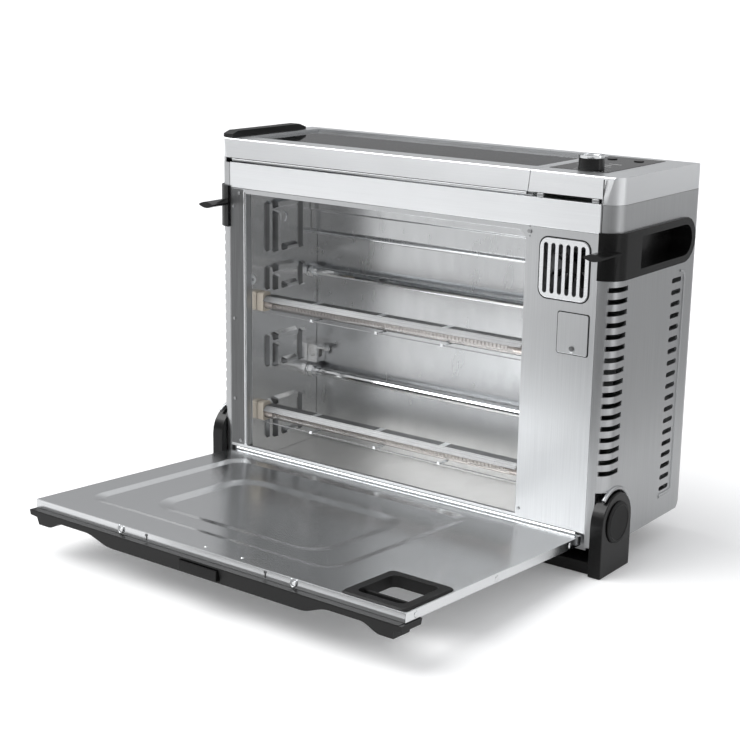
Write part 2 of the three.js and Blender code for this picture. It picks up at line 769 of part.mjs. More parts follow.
const windowY0 = glassMargin;
const windowY1 = bodyDepth - glassMargin + 2;
const bezelX0 = dividerX + 0.3;
function controlBezel() {
  let s = common(planSlab(bezelX0, halfW, panelZ1 + gap, bodyHeight, true),
    leanFace(bezelX0 - 1, halfW + 1, panelZ1 + gap));
  s = cut(s, box(bezelX0 - 1, frontX + gap, -2, bodyDepth + 1, panelZ1 - 1, faceZ0));
  s = cut(s, box(bezelX0 - 1, coverX + gap, bodyDepth - 4, bodyDepth + 1, panelZ1 - 1, faceZ0));
  s = cut(s, box(bezelX0 + sheet, halfW - 3, 9, bodyDepth - 6, panelZ1 - 1, bodyHeight - 6));
  return cut(s, box(bezelX0 + 4.5, halfW - 30, windowY0, windowY1, panelZ1, bodyHeight + 1));
}
add(housing, "control_bezel", controlBezel(), steel);
const dialX = halfW - 30 - 22.8;
const buttons = [[dialX - 26, windowY1 - 22], [dialX + 4, windowY1 - 22]];
function controlGlass() {
  const e = gap;
  const plate = box(bezelX0 + 4.5 + e, halfW - 30 - e, windowY0 + e, windowY1 - e, bodyHeight - 3.4,
    bodyHeight + 0.3);
  const holes = buttons.map(([x, y]) => prismZ(circle(x, y, buttonR + 0.4, 16), bodyHeight - 9,
    bodyHeight + 4));
  return cut(plate, prismZ(circle(dialX, dialInset, 3.4, 12), bodyHeight - 9, bodyHeight + 4), ...holes);
}
add(housing, "control_glass", controlGlass(), gloss);
add(
  housing,
  "control_board",
  box(bezelX0 + 6, halfW - 34, windowY0 + 4, windowY1 - 4, bodyHeight - 17.5, bodyHeight - 15.9),
  board
);

// ---------------------------------------------------------------- glass door
const faceDoor = new THREE.Group();
housing.add(faceDoor);
const doorX1 = dividerX - 0.3;
function faceFrame() {
  let s = common(planSlab(doorSideX, doorX1, faceZ0, bodyHeight, false),
    leanFace(doorSideX - 1, doorX1 + 1, faceZ0));
  s = cut(s, box(doorSideX + 8, doorX1 - 3, 12, bodyDepth - 6, faceZ0 - 1, bodyHeight - 9));
  const [x0, x1] = [doorSideX + 20, doorX1 - 8];
  s = cut(s, box(x0, x1, windowY0, windowY1, bodyHeight - 3 - glassT, bodyHeight + 1));
  const l = glassLap;
  return cut(s, box(x0 + l, x1 - l, windowY0 + l, windowY1 - l, faceZ0 - 1, bodyHeight + 1));
}
add(faceDoor, "face_door_frame", faceFrame(), steel);
function faceGlass() {
  const e = gap;
  const [x0, x1] = [doorSideX + 20 + e, doorX1 - 8 - e];
  const z = bodyHeight - 3 - glassT + e;
  return box(x0, x1, windowY0 + e, windowY1 - e, z, z + glassT);
}
add(faceDoor, "face_door_glass", faceGlass(), glassy);
function grip() {
  const x0 = doorSideX + 0.6;
  const z = bodyHeight + gap;
  const y0 = 9;
  const rail = prismX(
    [[y0, z], [y0 + gripLength, z], [y0 + gripLength, z + gripHeight - 4],
      [y0 + gripLength - 12, z + gripHeight],
      [y0 + 9, z + gripHeight], [y0, z + gripHeight - 3]],
    x0,
    x0 + gripWidth
  );
  const tab = box(doorSideX - 3.2, doorSideX - gap, frontEdgeR + 2, frontEdgeR + 14, bodyHeight - 9,
    z + 3);
  const bridge = box(doorSideX - 3.2, x0 + 2, frontEdgeR + 2, frontEdgeR + 14, z, z + 3);
  return join(rail, bridge, tab);
}
add(faceDoor, "door_grip", grip(), black);

// ---------------------------------------------------------------- underside door
// Its own frame has the inner edge at the origin, the free edge towards -Y and the inner face at z = 0.
const underDoor = new THREE.Group();
underDoor.position.set(0, doorNearY, doorNearZ);
underDoor.rotation.x = THREE.MathUtils.degToRad(-doorTilt);
housing.add(underDoor);
const ductW = grilleWidth / 2;
const ductH = grilleHeight / 2 + ductTall;
function tray() {
  const [x, L, t] = [doorHalf, doorLength, doorSheet];
  let s = cut(
    box(-x, x, -L, 0, -doorFlange, 0),
    box(-x + t, x - t, -L + t, -t, -doorFlange - 1, -t)
  );
  // two-step stamped well over the cavity opening
  const wells = [
    [openX0 + 9, openX1 - 33, -L + 38, -27, 22],
    [openX0 + 64, openX1 - 73, -L + 70, -79, 30],
  ];
  const well = (i, grow, d0, d1) => {
    const [a, b, c, d, r] = wells[i];
    const e = recessSlope[i];
    return loftZ(
      rounded(a + e - grow, b - e + grow, c + e - grow, d - e + grow, r - e / 2, 4), d0,
      rounded(a - grow, b + grow, c - grow, d + grow, r, 4), d1
    );
  };
  const [d1, d2] = recessDepth;
  s = join(s, well(0, t, -d1 - t, -t / 2), well(1, t, -d2 - t, -d1 - t / 2));
  s = cut(s, well(0, 0, -d1, 0.01), well(1, 0, -d2, -d1 + 0.01));
  const duct = box(ductX - ductW, ductX + ductW, -ductU - ductH, -ductU + ductH, -doorFlange - 5, 5);
  return cut(s, duct);
}
add(underDoor, "underside_door", tray(), bright);

function duct() {
  const b = ductBorder;
  const e = gap;
  const c = -ductU;
  const rim = loftZ(
    rounded(ductX - ductW - b, ductX + ductW + b, c - ductH - b, c + ductH + b, 6, 3), e,
    rounded(ductX - ductW - b + 1.5, ductX + ductW + b - 1.5, c - ductH - b + 1.5,
      c + ductH + b - 1.5, 5, 3), ductProud
  );
  const wall = box(ductX - ductW + e, ductX + ductW - e, c - ductH + e, c + ductH - e, -doorFlange,
    ductProud - 0.5);
  const w = ductWall;
  const hole = prismZ(rounded(ductX - ductW + w, ductX + ductW - w, c - ductH + w, c + ductH - w, 6,
    3), -20, 10);
  const s = cut(join(rim, wall), hole);
  const y = c - ductH * 0.45;
  return join(s, box(ductX - ductW + 1, ductX + ductW - 1, y - 1.5, y + 1.5, -doorFlange, -1.5));
}
add(underDoor, "duct_ring", duct(), gloss);

const barFront = -doorLength - barReach;
const latchZ = -doorFlange - 2.5;

// A soft S from one level to another.
function swept(x0, z0, x1, z1, n) {
  const at = (i) => (1 - Math.cos((Math.PI * i) / n)) / 2;
  return Array.from({ length: n + 1 }, (_, i) => [x0 + ((x1 - x0) * i) / n, z0 + (z1 - z0) * at(i)]);
}

function frontBar() {
  const x = doorHalf + barOverhang;
  const top = -doorFlange - gap;
  const low = -doorFlange - barDepth;
  const mid = low + 9;
  const half = [
    [x, top], [x, mid + 1], [x - 9, mid], [x - 10, low + 1],
    ...swept(x - 24, low + 1, x - 44, mid, 6), ...swept(x - 78, mid, x - 112, low, 8),
  ];
  const outline = [...half, ...half.map(([a, b]) => [-a, b]).reverse()];
  const y0 = barFront;
  const side = [[y0, top], [y0 + 4, low], [y0 + 27, low], [y0 + 31, top]];
  let s = common(prismY(outline.reverse(), y0 - 1, y0 + 40), prismX(side, -x - 1, x + 1));
  // a lip that covers the free edge of the sheet, from outside
  s = join(s, box(-x + 3, x - 3, y0, -doorLength - gap, top - 1, top + barLip));
  const w = latchWidth / 2 + 0.6;
  s = cut(s, box(-w, w, y0 - 5, y0 + 16, latchZ - latchHeight - 0.6, latchZ + 0.6));
  // hollow behind, open towards the hinge
  const [h0, h1] = [y0 + 18, y0 + 45];
  for (const side of [-1, 1]) {
    const a = side < 0 ? -x + 110 : 6;
    s = cut(s, box(a, a + x - 116, h0, h1, low + 2.5, top - 2.5));
  }
  return s;
}
add(underDoor, "front_bar", frontBar(), black);
const latch = new THREE.Group();
underDoor.add(latch);
add(
  latch,
  "latch_button",
  box(-latchWidth / 2, latchWidth / 2, barFront - 1.6, barFront + 16 - latchTravel - 1,
    latchZ - latchHeight, latchZ),
  gloss
);

// The rod that the underside door turns on, found from its open and closed places.
function hingeCentre() {
  const a = -THREE.MathUtils.degToRad(90 - doorTilt);
  const [c, s] = [Math.cos(a), Math.sin(a)];
  const ry = c * doorNearY - s * doorNearZ;
  const rz = s * doorNearY + c * doorNearZ;
  const [dy, dz] = [-doorSeat - ry, doorFoot - rz];
  const det = (1 - c) ** 2 + s ** 2;
  return [((1 - c) * dy - s * dz) / det, (s * dy + (1 - c) * dz) / det];
}
const [hingeY, hingeZ] = hingeCentre();
add(
  housing,
  "under_hinge_rod",
  prismX(circle(hingeY, hingeZ, rodUnderR, 8), -doorHalf + 6, doorHalf - 6),
  satin
);

// ---------------------------------------------------------------- dial, buttons and fans
const dial = new THREE.Group();
dial.position.set(dialX, dialInset, bodyHeight);
housing.add(dial);
const knob = [[0, -8], [2.8, -8], [2.8, 0.7], [dialR, 0.7], [dialR, dialHeight - 3.5],
  [dialR - 1.2, dialHeight - 1],
  [dialR - 2.4, dialHeight], [0, dialHeight]];
add(dial, "dial", geometry(solid(new THREE.LatheGeometry(knob.map((p) => new THREE.Vector2(...p)), 32)
  .rotateX(Math.PI / 2))), black);
["power_button", "light_button"].forEach((name, i) => {
  const [x, y] = buttons[i];
  add(housing, name, prismZ(circle(x, y, buttonR, 16), bodyHeight - 6, bodyHeight + 1.2), gloss);
});

function rotor(hubR, r, blades, width, back) {
  let s = solid(new THREE.CylinderGeometry(hubR, hubR, width, 16));
  if (back) s = join(s, new THREE.CylinderGeometry(r * 0.96, r * 0.96, 1.2, 24).translate(0,
    -width / 2 + 0.6, 0));
  for (let i = 0; i < blades; i++) {
    const b = new THREE.BoxGeometry(r - hubR + 2, width * 0.9, 1.6);
    if (!back) b.rotateX(0.6);
    b.translate(hubR + (r - hubR) / 2 - 1, 0, 0).rotateY((i / blades) * Math.PI * 2);
    s = join(s, b);
  }
  return geometry(s);
}
const coolingFan = new THREE.Group();
coolingFan.position.set(grilleX, 18, grilleZ);
housing.add(coolingFan);
add(coolingFan, "cooling_fan", rotor(7, fanR, 7, 9, false), black);
const coolingMotor = prismY(circle(grilleX, grilleZ, 14, 12), 23.5, 44);
add(housing, "cooling_motor",
  join(coolingMotor, box(bezelX0 + 2, grilleX, 30, 36, grilleZ - 8, grilleZ + 8)), satin);
const ovenFan = new THREE.Group();
ovenFan.position.set(dividerX + 12, ovenFanY, ovenFanZ);
ovenFan.rotation.z = Math.PI / 2;
housing.add(ovenFan);
add(ovenFan, "oven_fan", rotor(8, ovenFanR, 8, 14, true), bright);
const motor = prismX(circle(ovenFanY, ovenFanZ, 22, 12), dividerX + 20.5, dividerX + 62);
const motorPlate = box(dividerX + 24, dividerX + 27, ovenFanY - ovenFanR, ovenFanY + ovenFanR,
  ovenFanZ - ovenFanR, ovenFanZ + ovenFanR);
add(housing, "oven_fan_motor", join(motor, motorPlate), satin);

export default root;
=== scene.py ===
import json
import math

import bpy
from mathutils import Matrix, Vector

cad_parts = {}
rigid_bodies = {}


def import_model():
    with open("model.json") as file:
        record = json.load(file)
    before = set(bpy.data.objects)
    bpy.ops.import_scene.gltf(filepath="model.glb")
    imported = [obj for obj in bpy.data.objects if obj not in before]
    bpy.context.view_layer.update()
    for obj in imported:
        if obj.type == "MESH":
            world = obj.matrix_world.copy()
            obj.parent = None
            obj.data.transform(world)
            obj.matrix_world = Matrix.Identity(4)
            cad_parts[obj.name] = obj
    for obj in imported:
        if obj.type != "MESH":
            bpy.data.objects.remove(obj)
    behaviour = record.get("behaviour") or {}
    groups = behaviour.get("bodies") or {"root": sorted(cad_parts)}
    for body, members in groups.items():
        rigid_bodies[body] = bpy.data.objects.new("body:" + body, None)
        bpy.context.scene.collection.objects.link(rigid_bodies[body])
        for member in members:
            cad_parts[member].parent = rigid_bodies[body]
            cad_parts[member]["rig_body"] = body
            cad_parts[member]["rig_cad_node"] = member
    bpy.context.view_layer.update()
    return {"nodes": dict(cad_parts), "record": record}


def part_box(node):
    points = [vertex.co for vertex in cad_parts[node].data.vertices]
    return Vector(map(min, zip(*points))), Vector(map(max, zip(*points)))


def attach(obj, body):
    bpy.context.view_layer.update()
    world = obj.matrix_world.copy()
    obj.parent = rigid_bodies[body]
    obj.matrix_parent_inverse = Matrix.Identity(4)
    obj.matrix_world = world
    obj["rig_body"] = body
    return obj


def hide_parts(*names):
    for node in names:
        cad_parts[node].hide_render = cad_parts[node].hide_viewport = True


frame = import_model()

MM = 0.001
NODES = frame["nodes"]
BODY_OF = {node: body for body, nodes in frame["record"]["behaviour"]["bodies"].items()
           for node in nodes}
SCENE = bpy.context.scene


# ---------------------------------------------------------------- camera, lights and floor

CAMERA_PLACE = (0.9286, -1.2943, 0.5838)
CAMERA_AZIMUTH, CAMERA_ELEVATION, CAMERA_ROLL = 36.65, 14.61, 0.89  # degrees
CAMERA_LENS, CAMERA_SENSOR = 76.2, 36.0  # millimetres


def place_camera():
    """The camera looks down a little from the front right corner, leaning by under a degree."""
    azimuth, elevation, roll = (
        math.radians(a) for a in (CAMERA_AZIMUTH, CAMERA_ELEVATION, CAMERA_ROLL))
    back = Vector((math.sin(azimuth) * math.cos(elevation),
                   -math.cos(azimuth) * math.cos(elevation), math.sin(elevation)))
    right = (-back).cross(Vector((0, 0, 1))).normalized()
    above = right.cross(-back)
    across = right * math.cos(roll) + above * math.sin(roll)
    up = above * math.cos(roll) - right * math.sin(roll)
    data = bpy.data.cameras.new("camera")
    data.lens, data.sensor_width = CAMERA_LENS, CAMERA_SENSOR
    data.clip_start, data.clip_end = 0.05, 200.0
    camera = bpy.data.objects.new("camera", data)
    SCENE.collection.objects.link(camera)
    turn = Matrix((across, up, back)).transposed().to_4x4()
    camera.matrix_world = Matrix.Translation(CAMERA_PLACE) @ turn
    SCENE.camera = camera


def soft_light(name, size, power, place, target, tone=(1.0, 1.0, 1.0)):
    """A square soft box at a place, turned to face its target."""
    data = bpy.data.lights.new(name, "AREA")
    data.shape, data.size, data.size_y = "RECTANGLE", size[0], size[1]
    data.energy, data.color = power, tone
    light = bpy.data.objects.new(name, data)
    SCENE.collection.objects.link(light)
    light.location = place
    aim = Vector(target) - Vector(place)
    light.rotation_euler = aim.to_track_quat("-Z", "Y").to_euler()


def light_studio():
    world = bpy.data.worlds.new("studio")
    world.use_nodes = True
    tree = world.node_tree
    place = tree.nodes.new("ShaderNodeTexCoord")
    parts = tree.nodes.new("ShaderNodeSeparateXYZ")
    ramp = tree.nodes.new("ShaderNodeValToRGB")
    tree.links.new(place.outputs["Generated"], parts.inputs["Vector"])
    tree.links.new(parts.outputs["Z"], ramp.inputs["Fac"])
    tree.links.new(ramp.outputs["Color"], tree.nodes["Background"].inputs["Color"])
    stops = ramp.color_ramp.elements
    stops[0].position, stops[0].color = 0.0, (0.62, 0.62, 0.63, 1)
    stops[1].position, stops[1].color = 1.0, (0.70, 0.71, 0.73, 1)
    for height, level in ((0.10, 0.34), (0.30, 0.46), (0.60, 0.95)):
        stop = stops.new(height)
        stop.color = (level, level * 1.005, level * 1.02, 1)
    tree.nodes["Background"].inputs["Strength"].default_value = 0.85
    SCENE.world = world
    sun = bpy.data.lights.new("sky_light", "SUN")
    sun.energy, sun.angle = 2.1, math.radians(50)
    sky = bpy.data.objects.new("sky_light", sun)
    SCENE.collection.objects.link(sky)
    sky.rotation_euler = (Vector((0.55, 0.40, -1.0))).to_track_quat("-Z", "Y").to_euler()
    soft_light("key_box", (1.6, 1.2), 7, (-1.3, -1.5, 1.5), (0, 0, 0.2))
    soft_light("front_box", (1.4, 0.9), 3, (0.2, -2.2, 1.4), (0, 0, 0.2))
    soft_light("right_box", (0.4, 1.6), 2, (1.7, 0.5, 0.9), (0.2, 0.1, 0.2))
    SCENE.view_settings.view_transform = "Standard"
    SCENE.view_settings.look = "None"


def reflection_card(name, low, high, finish):
    """A card on the floor that only polished metal sees, as a studio's dark flags are."""
    bpy.ops.object.select_all(action="DESELECT")
    centre = ((low[0] + high[0]) / 2, (low[1] + high[1]) / 2, 0.001)
    bpy.ops.mesh.primitive_plane_add(size=1, location=centre,
                                     scale=(high[0] - low[0], high[1] - low[1], 1))
    card = bpy.context.active_object
    card.name = name
    card.scale = (high[0] - low[0], high[1] - low[1], 1)
    card.data.materials.append(finish)
    card.visible_camera = card.visible_diffuse = card.visible_shadow = False
    card.visible_transmission = False


def lay_floor(finish):
    bpy.ops.object.select_all(action="DESELECT")
    bpy.ops.mesh.primitive_plane_add(size=120, location=(0, 0, -0.0002))
    floor = bpy.context.active_object
    floor.name = "floor"
    floor.data.materials.append(finish)


# ---------------------------------------------------------------- shader node groups

def new_group(name, takes, gives):
    group = bpy.data.node_groups.new(name, "ShaderNodeTree")
    for label, kind, start in takes:
        socket = group.interface.new_socket(label, in_out="INPUT", socket_type=kind)
        if start is not None:
            socket.default_value = start
    for label, kind in gives:
        group.interface.new_socket(label, in_out="OUTPUT", socket_type=kind)
    return group, group.nodes.new("NodeGroupInput"), group.nodes.new("NodeGroupOutput")


def node(tree, kind, settings=None, values=None, **wires):
    """A node with its settings, its constant inputs and the outputs wired into it."""
    made = tree.nodes.new(kind)
    for key, value in (settings or {}).items():
        setattr(made, key, value)
    for key, value in (values or {}).items():
        made.inputs[key].default_value = value
    for key, output in wires.items():
        tree.links.new(output, made.inputs[key.replace("_", " ")])
    return made


FLOAT, VECTOR, COLOUR = "NodeSocketFloat", "NodeSocketVector", "NodeSocketColor"


def make_grain_group():
    """Brushing: fine lines over slow cloudy bands, for a colour, a roughness and a height."""
    group, enter, leave = new_group(
        "brushed_grain",
        [("Lines", VECTOR, None), ("Place", VECTOR, None), ("Light Tone", COLOUR, None),
         ("Dark Tone", COLOUR, None), ("Roughness", FLOAT, 0.3), ("Spread", FLOAT, 0.1)],
        [("Color", COLOUR), ("Roughness", FLOAT), ("Height", FLOAT)])
    fine = node(group, "ShaderNodeTexNoise", values={"Scale": 1.0, "Detail": 3.0},
                Vector=enter.outputs["Lines"])
    slow = node(group, "ShaderNodeTexNoise", values={"Scale": 9.0, "Detail": 2.0},
                Vector=enter.outputs["Place"])
    mixed = node(group, "ShaderNodeMath", {"operation": "MULTIPLY_ADD"}, {1: 0.6})
    group.links.new(fine.outputs["Fac"], mixed.inputs[0])
    share = node(group, "ShaderNodeMath", {"operation": "MULTIPLY"}, {1: 0.4})
    group.links.new(slow.outputs["Fac"], share.inputs[0])
    group.links.new(share.outputs[0], mixed.inputs[2])
    wide = node(group, "ShaderNodeMapRange",
                values={"From Min": 0.3, "From Max": 0.7, "To Min": 0.0, "To Max": 1.0},
                Value=mixed.outputs[0])
    tone = node(group, "ShaderNodeMix", {"data_type": "RGBA"})
    group.links.new(wide.outputs[0], tone.inputs["Factor"])
    group.links.new(enter.outputs["Dark Tone"], tone.inputs[6])
    group.links.new(enter.outputs["Light Tone"], tone.inputs[7])
    centred = node(group, "ShaderNodeMath", {"operation": "SUBTRACT"}, {0: 0.5})
    group.links.new(wide.outputs[0], centred.inputs[1])
    rough = node(group, "ShaderNodeMath", {"operation": "MULTIPLY_ADD"})
    group.links.new(centred.outputs[0], rough.inputs[0])
    group.links.new(enter.outputs["Spread"], rough.inputs[1])
    group.links.new(enter.outputs["Roughness"], rough.inputs[2])
    group.links.new(tone.outputs[2], leave.inputs["Color"])
    group.links.new(rough.outputs[0], leave.inputs["Roughness"])
    group.links.new(fine.outputs["Fac"], leave.inputs["Height"])
    return group


def make_edge_group():
    """Worn edges and painted edge highlights: a colour and a roughness that change along a piece's
    outer edges.
    """
    group, enter, leave = new_group(
        "worn_and_highlit_edges",
        [("Place", VECTOR, None), ("Color", COLOUR, None), ("Edge Color", COLOUR, None),
         ("Roughness", FLOAT, 0.4), ("Edge Roughness", FLOAT, 0.3), ("Amount", FLOAT, 0.5)],
        [("Color", COLOUR), ("Roughness", FLOAT)])
    round_ = node(group, "ShaderNodeBevel", {"samples": 4}, {"Radius": 0.0009})
    shape = node(group, "ShaderNodeNewGeometry")
    along = node(group, "ShaderNodeVectorMath", {"operation": "DOT_PRODUCT"})
    group.links.new(round_.outputs["Normal"], along.inputs[0])
    group.links.new(shape.outputs["Normal"], along.inputs[1])
    edge = node(group, "ShaderNodeMapRange",
                values={"From Min": 0.99, "From Max": 0.80, "To Min": 0.0, "To Max": 1.0},
                Value=along.outputs["Value"])
    patchy = node(group, "ShaderNodeTexNoise", values={"Scale": 160.0, "Detail": 3.0},
                  Vector=enter.outputs["Place"])
    wear_and_highlight_patches = node(group, "ShaderNodeMapRange",
                  values={"From Min": 0.35, "From Max": 0.65, "To Min": 0.35, "To Max": 1.0},
                  Value=patchy.outputs["Fac"])
    mask = node(group, "ShaderNodeMath", {"operation": "MULTIPLY"})
    group.links.new(edge.outputs[0], mask.inputs[0])
    group.links.new(wear_and_highlight_patches.outputs[0], mask.inputs[1])
    level = node(group, "ShaderNodeMath", {"operation": "MULTIPLY"})
    group.links.new(mask.outputs[0], level.inputs[0])
    group.links.new(enter.outputs["Amount"], level.inputs[1])
    tone = node(group, "ShaderNodeMix", {"data_type": "RGBA"})
    group.links.new(level.outputs[0], tone.inputs["Factor"])
    group.links.new(enter.outputs["Color"], tone.inputs[6])
    group.links.new(enter.outputs["Edge Color"], tone.inputs[7])
    rough = node(group, "ShaderNodeMix", {"data_type": "FLOAT"})
    group.links.new(level.outputs[0], rough.inputs["Factor"])
    group.links.new(enter.outputs["Roughness"], rough.inputs[2])
    group.links.new(enter.outputs["Edge Roughness"], rough.inputs[3])
    group.links.new(tone.outputs[2], leave.inputs["Color"])
    group.links.new(rough.outputs[0], leave.inputs["Roughness"])
    return group


def make_pebble_group():
    """Moulded skin: fine pebbles and a faint cloudy tone."""
    group, enter, leave = new_group(
        "moulded_skin",
        [("Place", VECTOR, None), ("Grain Size", FLOAT, 1600.0), ("Light Tone", COLOUR, None),
         ("Dark Tone", COLOUR, None), ("Roughness", FLOAT, 0.4), ("Spread", FLOAT, 0.1)],
        [("Color", COLOUR), ("Roughness", FLOAT), ("Height", FLOAT)])
    pebbles = node(group, "ShaderNodeTexVoronoi", Vector=enter.outputs["Place"],
                   Scale=enter.outputs["Grain Size"])
    clouds = node(group, "ShaderNodeTexNoise", values={"Scale": 40.0, "Detail": 4.0},
                  Vector=enter.outputs["Place"])
    tone = node(group, "ShaderNodeMix", {"data_type": "RGBA"})
    group.links.new(clouds.outputs["Fac"], tone.inputs["Factor"])
    group.links.new(enter.outputs["Dark Tone"], tone.inputs[6])
    group.links.new(enter.outputs["Light Tone"], tone.inputs[7])
    centred = node(group, "ShaderNodeMath", {"operation": "SUBTRACT"}, {1: 0.5})
    group.links.new(clouds.outputs["Fac"], centred.inputs[0])
    rough = node(group, "ShaderNodeMath", {"operation": "MULTIPLY_ADD"})
    group.links.new(centred.outputs[0], rough.inputs[0])
    group.links.new(enter.outputs["Spread"], rough.inputs[1])
    group.links.new(enter.outputs["Roughness"], rough.inputs[2])
    group.links.new(tone.outputs[2], leave.inputs["Color"])
    group.links.new(rough.outputs[0], leave.inputs["Roughness"])
    group.links.new(pebbles.outputs["Distance"], leave.inputs["Height"])
    return group


GRAIN, EDGES, SKIN = make_grain_group(), make_edge_group(), make_pebble_group()


# ---------------------------------------------------------------- materials

def grey(level, tint=(1.0, 1.0, 1.0)):
    return tuple(level * t for t in tint) + (1.0,)


STEEL_TINT = (0.985, 1.0, 1.012)


def new_material(name, **constants):
    finish = bpy.data.materials.new(name)
    finish.use_nodes = True
    tree = finish.node_tree
    shader = tree.nodes["Principled BSDF"]
    for label, value in constants.items():
        shader.inputs[label.replace("_", " ")].default_value = value
    place = node(tree, "ShaderNodeTexCoord")
    return finish, tree, shader, place.outputs["Object"]


def use_group(tree, group, values, **wires):
    made = tree.nodes.new("ShaderNodeGroup")
    made.node_tree = group
    for key, value in values.items():
        made.inputs[key].default_value = value
    for key, output in wires.items():
        tree.links.new(output, made.inputs[key.replace("_", " ")])
    return made


def finish_surface(tree, shader, place, base, height_mm, strength, edge=None):
    """Wires a group's colour, roughness and height in, with worn edges and painted edge highlights
    where they are asked for.
    """
    colour, rough = base.outputs["Color"], base.outputs["Roughness"]
    if edge:
        tone, roughness, amount = edge
        edge_wear_and_highlight = use_group(tree, EDGES, {"Edge Color": tone, "Edge Roughness": roughness,
                                       "Amount": amount},
                         Place=place, Color=colour, Roughness=rough)
        colour, rough = edge_wear_and_highlight.outputs["Color"], edge_wear_and_highlight.outputs["Roughness"]
    tree.links.new(colour, shader.inputs["Base Color"])
    tree.links.new(rough, shader.inputs["Roughness"])
    bump = node(tree, "ShaderNodeBump", values={"Strength": strength,
                                                "Distance": height_mm * MM},
                Height=base.outputs["Height"])
    tree.links.new(bump.outputs["Normal"], shader.inputs["Normal"])


def brushed(name, light, dark, rough, spread, lines, strength=0.25, edge=None,
            tint=STEEL_TINT, height_mm=0.04):
    """A brushed metal; lines gives how many grain lines a metre holds along each axis."""
    finish, tree, shader, place = new_material(name, Metallic=1.0)
    stretch = node(tree, "ShaderNodeMapping", values={"Scale": lines}, Vector=place)
    base = use_group(tree, GRAIN, {"Light Tone": grey(light, tint),
                                   "Dark Tone": grey(dark, tint),
                                   "Roughness": rough, "Spread": spread},
                     Lines=stretch.outputs["Vector"], Place=place)
    finish_surface(tree, shader, place, base, height_mm, strength, edge)
    return finish


def moulded(name, light, dark, rough, spread, grain, strength, edge=None, **constants):
    finish, tree, shader, place = new_material(name, **constants)
    base = use_group(tree, SKIN, {"Grain Size": grain, "Light Tone": light,
                                  "Dark Tone": dark, "Roughness": rough, "Spread": spread},
                     Place=place)
    finish_surface(tree, shader, place, base, 0.05, strength, edge)
    return finish


def darker_in_reflections(finish, share):
    """Makes a finish look darker to mirror-like rays, as a floor between light flags does."""
    tree = finish.node_tree
    shader = tree.nodes["Principled BSDF"]
    base = shader.inputs["Base Color"].links[0].from_socket
    path = node(tree, "ShaderNodeLightPath")
    shade = node(tree, "ShaderNodeMix", {"data_type": "RGBA", "blend_type": "MULTIPLY"})
    shade.inputs[7].default_value = grey(share)
    tree.links.new(path.outputs["Is Glossy Ray"], shade.inputs["Factor"])
    tree.links.new(base, shade.inputs[6])
    tree.links.new(shade.outputs[2], shader.inputs["Base Color"])
    return finish


def glass(name, tint, rough):
    """Tinted glass with faint wiping streaks in its roughness."""
    finish, tree, shader, place = new_material(name, Metallic=0.0, Transmission_Weight=1.0,
                                               IOR=1.45)
    stretch = node(tree, "ShaderNodeMapping", values={"Scale": (18, 60, 60)}, Vector=place)
    base = use_group(tree, GRAIN, {"Light Tone": tint, "Dark Tone": tint,
                                   "Roughness": rough, "Spread": 0.05},
                     Lines=stretch.outputs["Vector"], Place=place)
    tree.links.new(base.outputs["Color"], shader.inputs["Base Color"])
    tree.links.new(base.outputs["Roughness"], shader.inputs["Roughness"])
    return finish


# painted highlight: steel edges are lightened towards near white in patches, standing in for the
# highlights on their rounded edges
PAINTED_EDGE_HIGHLIGHT = (grey(0.93, STEEL_TINT), 0.22, 0.5)
RUBBED_EDGE = (grey(0.035), 0.30, 0.45)
BAND_STEEL = brushed("band_steel", 0.97, 0.91, 0.32, 0.08, (12, 1000, 1000), 0.10,
                     PAINTED_EDGE_HIGHLIGHT)
DARK_STEEL = brushed("dark_steel", 0.20, 0.14, 0.36, 0.08, (700, 700, 20), 0.10,
                     (grey(0.45), 0.3, 0.5))
PLATE_STEEL = brushed("plate_steel", 0.64, 0.55, 0.33, 0.08, (1000, 1000, 12), 0.10,
                      PAINTED_EDGE_HIGHLIGHT)
SIDE_STEEL = brushed("side_steel", 0.60, 0.53, 0.33, 0.06, (900, 900, 12), 0.08,
                     PAINTED_EDGE_HIGHLIGHT)
DOOR_STEEL = brushed("door_steel", 0.88, 0.80, 0.20, 0.05, (12, 1100, 1100), 0.05,
                     PAINTED_EDGE_HIGHLIGHT)
# painted shade: the cavity's back wall gets a darker copy of the bright liner sheet, standing in
# for the shade deep in the cavity
BACK_SHADE_STEEL = brushed("back_steel_painted_shade", 0.66, 0.58, 0.26, 0.05, (90, 90, 30), 0.012,
                     PAINTED_EDGE_HIGHLIGHT)
# painted shade: a darker steel for the fronts of the left wall's pressed bosses, standing in for
# their shade
FACET_SHADE_STEEL = brushed("facet_painted_shade", 0.24, 0.18, 0.30, 0.05, (90, 90, 90), 0.02)
LINER_STEEL = brushed("liner_steel", 0.96, 0.90, 0.24, 0.05, (90, 90, 30), 0.012,
                      PAINTED_EDGE_HIGHLIGHT, tint=(1.0, 1.0, 0.995))
SHADE_STEEL = brushed("shade_steel", 0.42, 0.34, 0.38, 0.08, (9, 500, 500), 0.15)
CHROME = brushed("chrome", 0.92, 0.80, 0.09, 0.05, (300, 300, 300), 0.04)
FLOOR_SHEET = brushed("oven_floor_sheet", 0.97, 0.90, 0.36, 0.12, (40, 40, 40), 0.10,
                      tint=(1.0, 0.99, 0.965))
MATTE_BLACK = moulded("matte_black", grey(0.008), grey(0.005), 0.42, 0.10, 1500.0, 0.20,
                      RUBBED_EDGE, Specular_IOR_Level=0.32)
GLOSS_BLACK = moulded("gloss_black", grey(0.006), grey(0.004), 0.24, 0.08, 500.0, 0.03,
                      RUBBED_EDGE, Specular_IOR_Level=0.25, Coat_Weight=0.15,
                      Coat_Roughness=0.12)
SOFT_BLACK = moulded("soft_black", grey(0.011), grey(0.007), 0.55, 0.10, 1100.0, 0.25,
                     RUBBED_EDGE, Specular_IOR_Level=0.3)
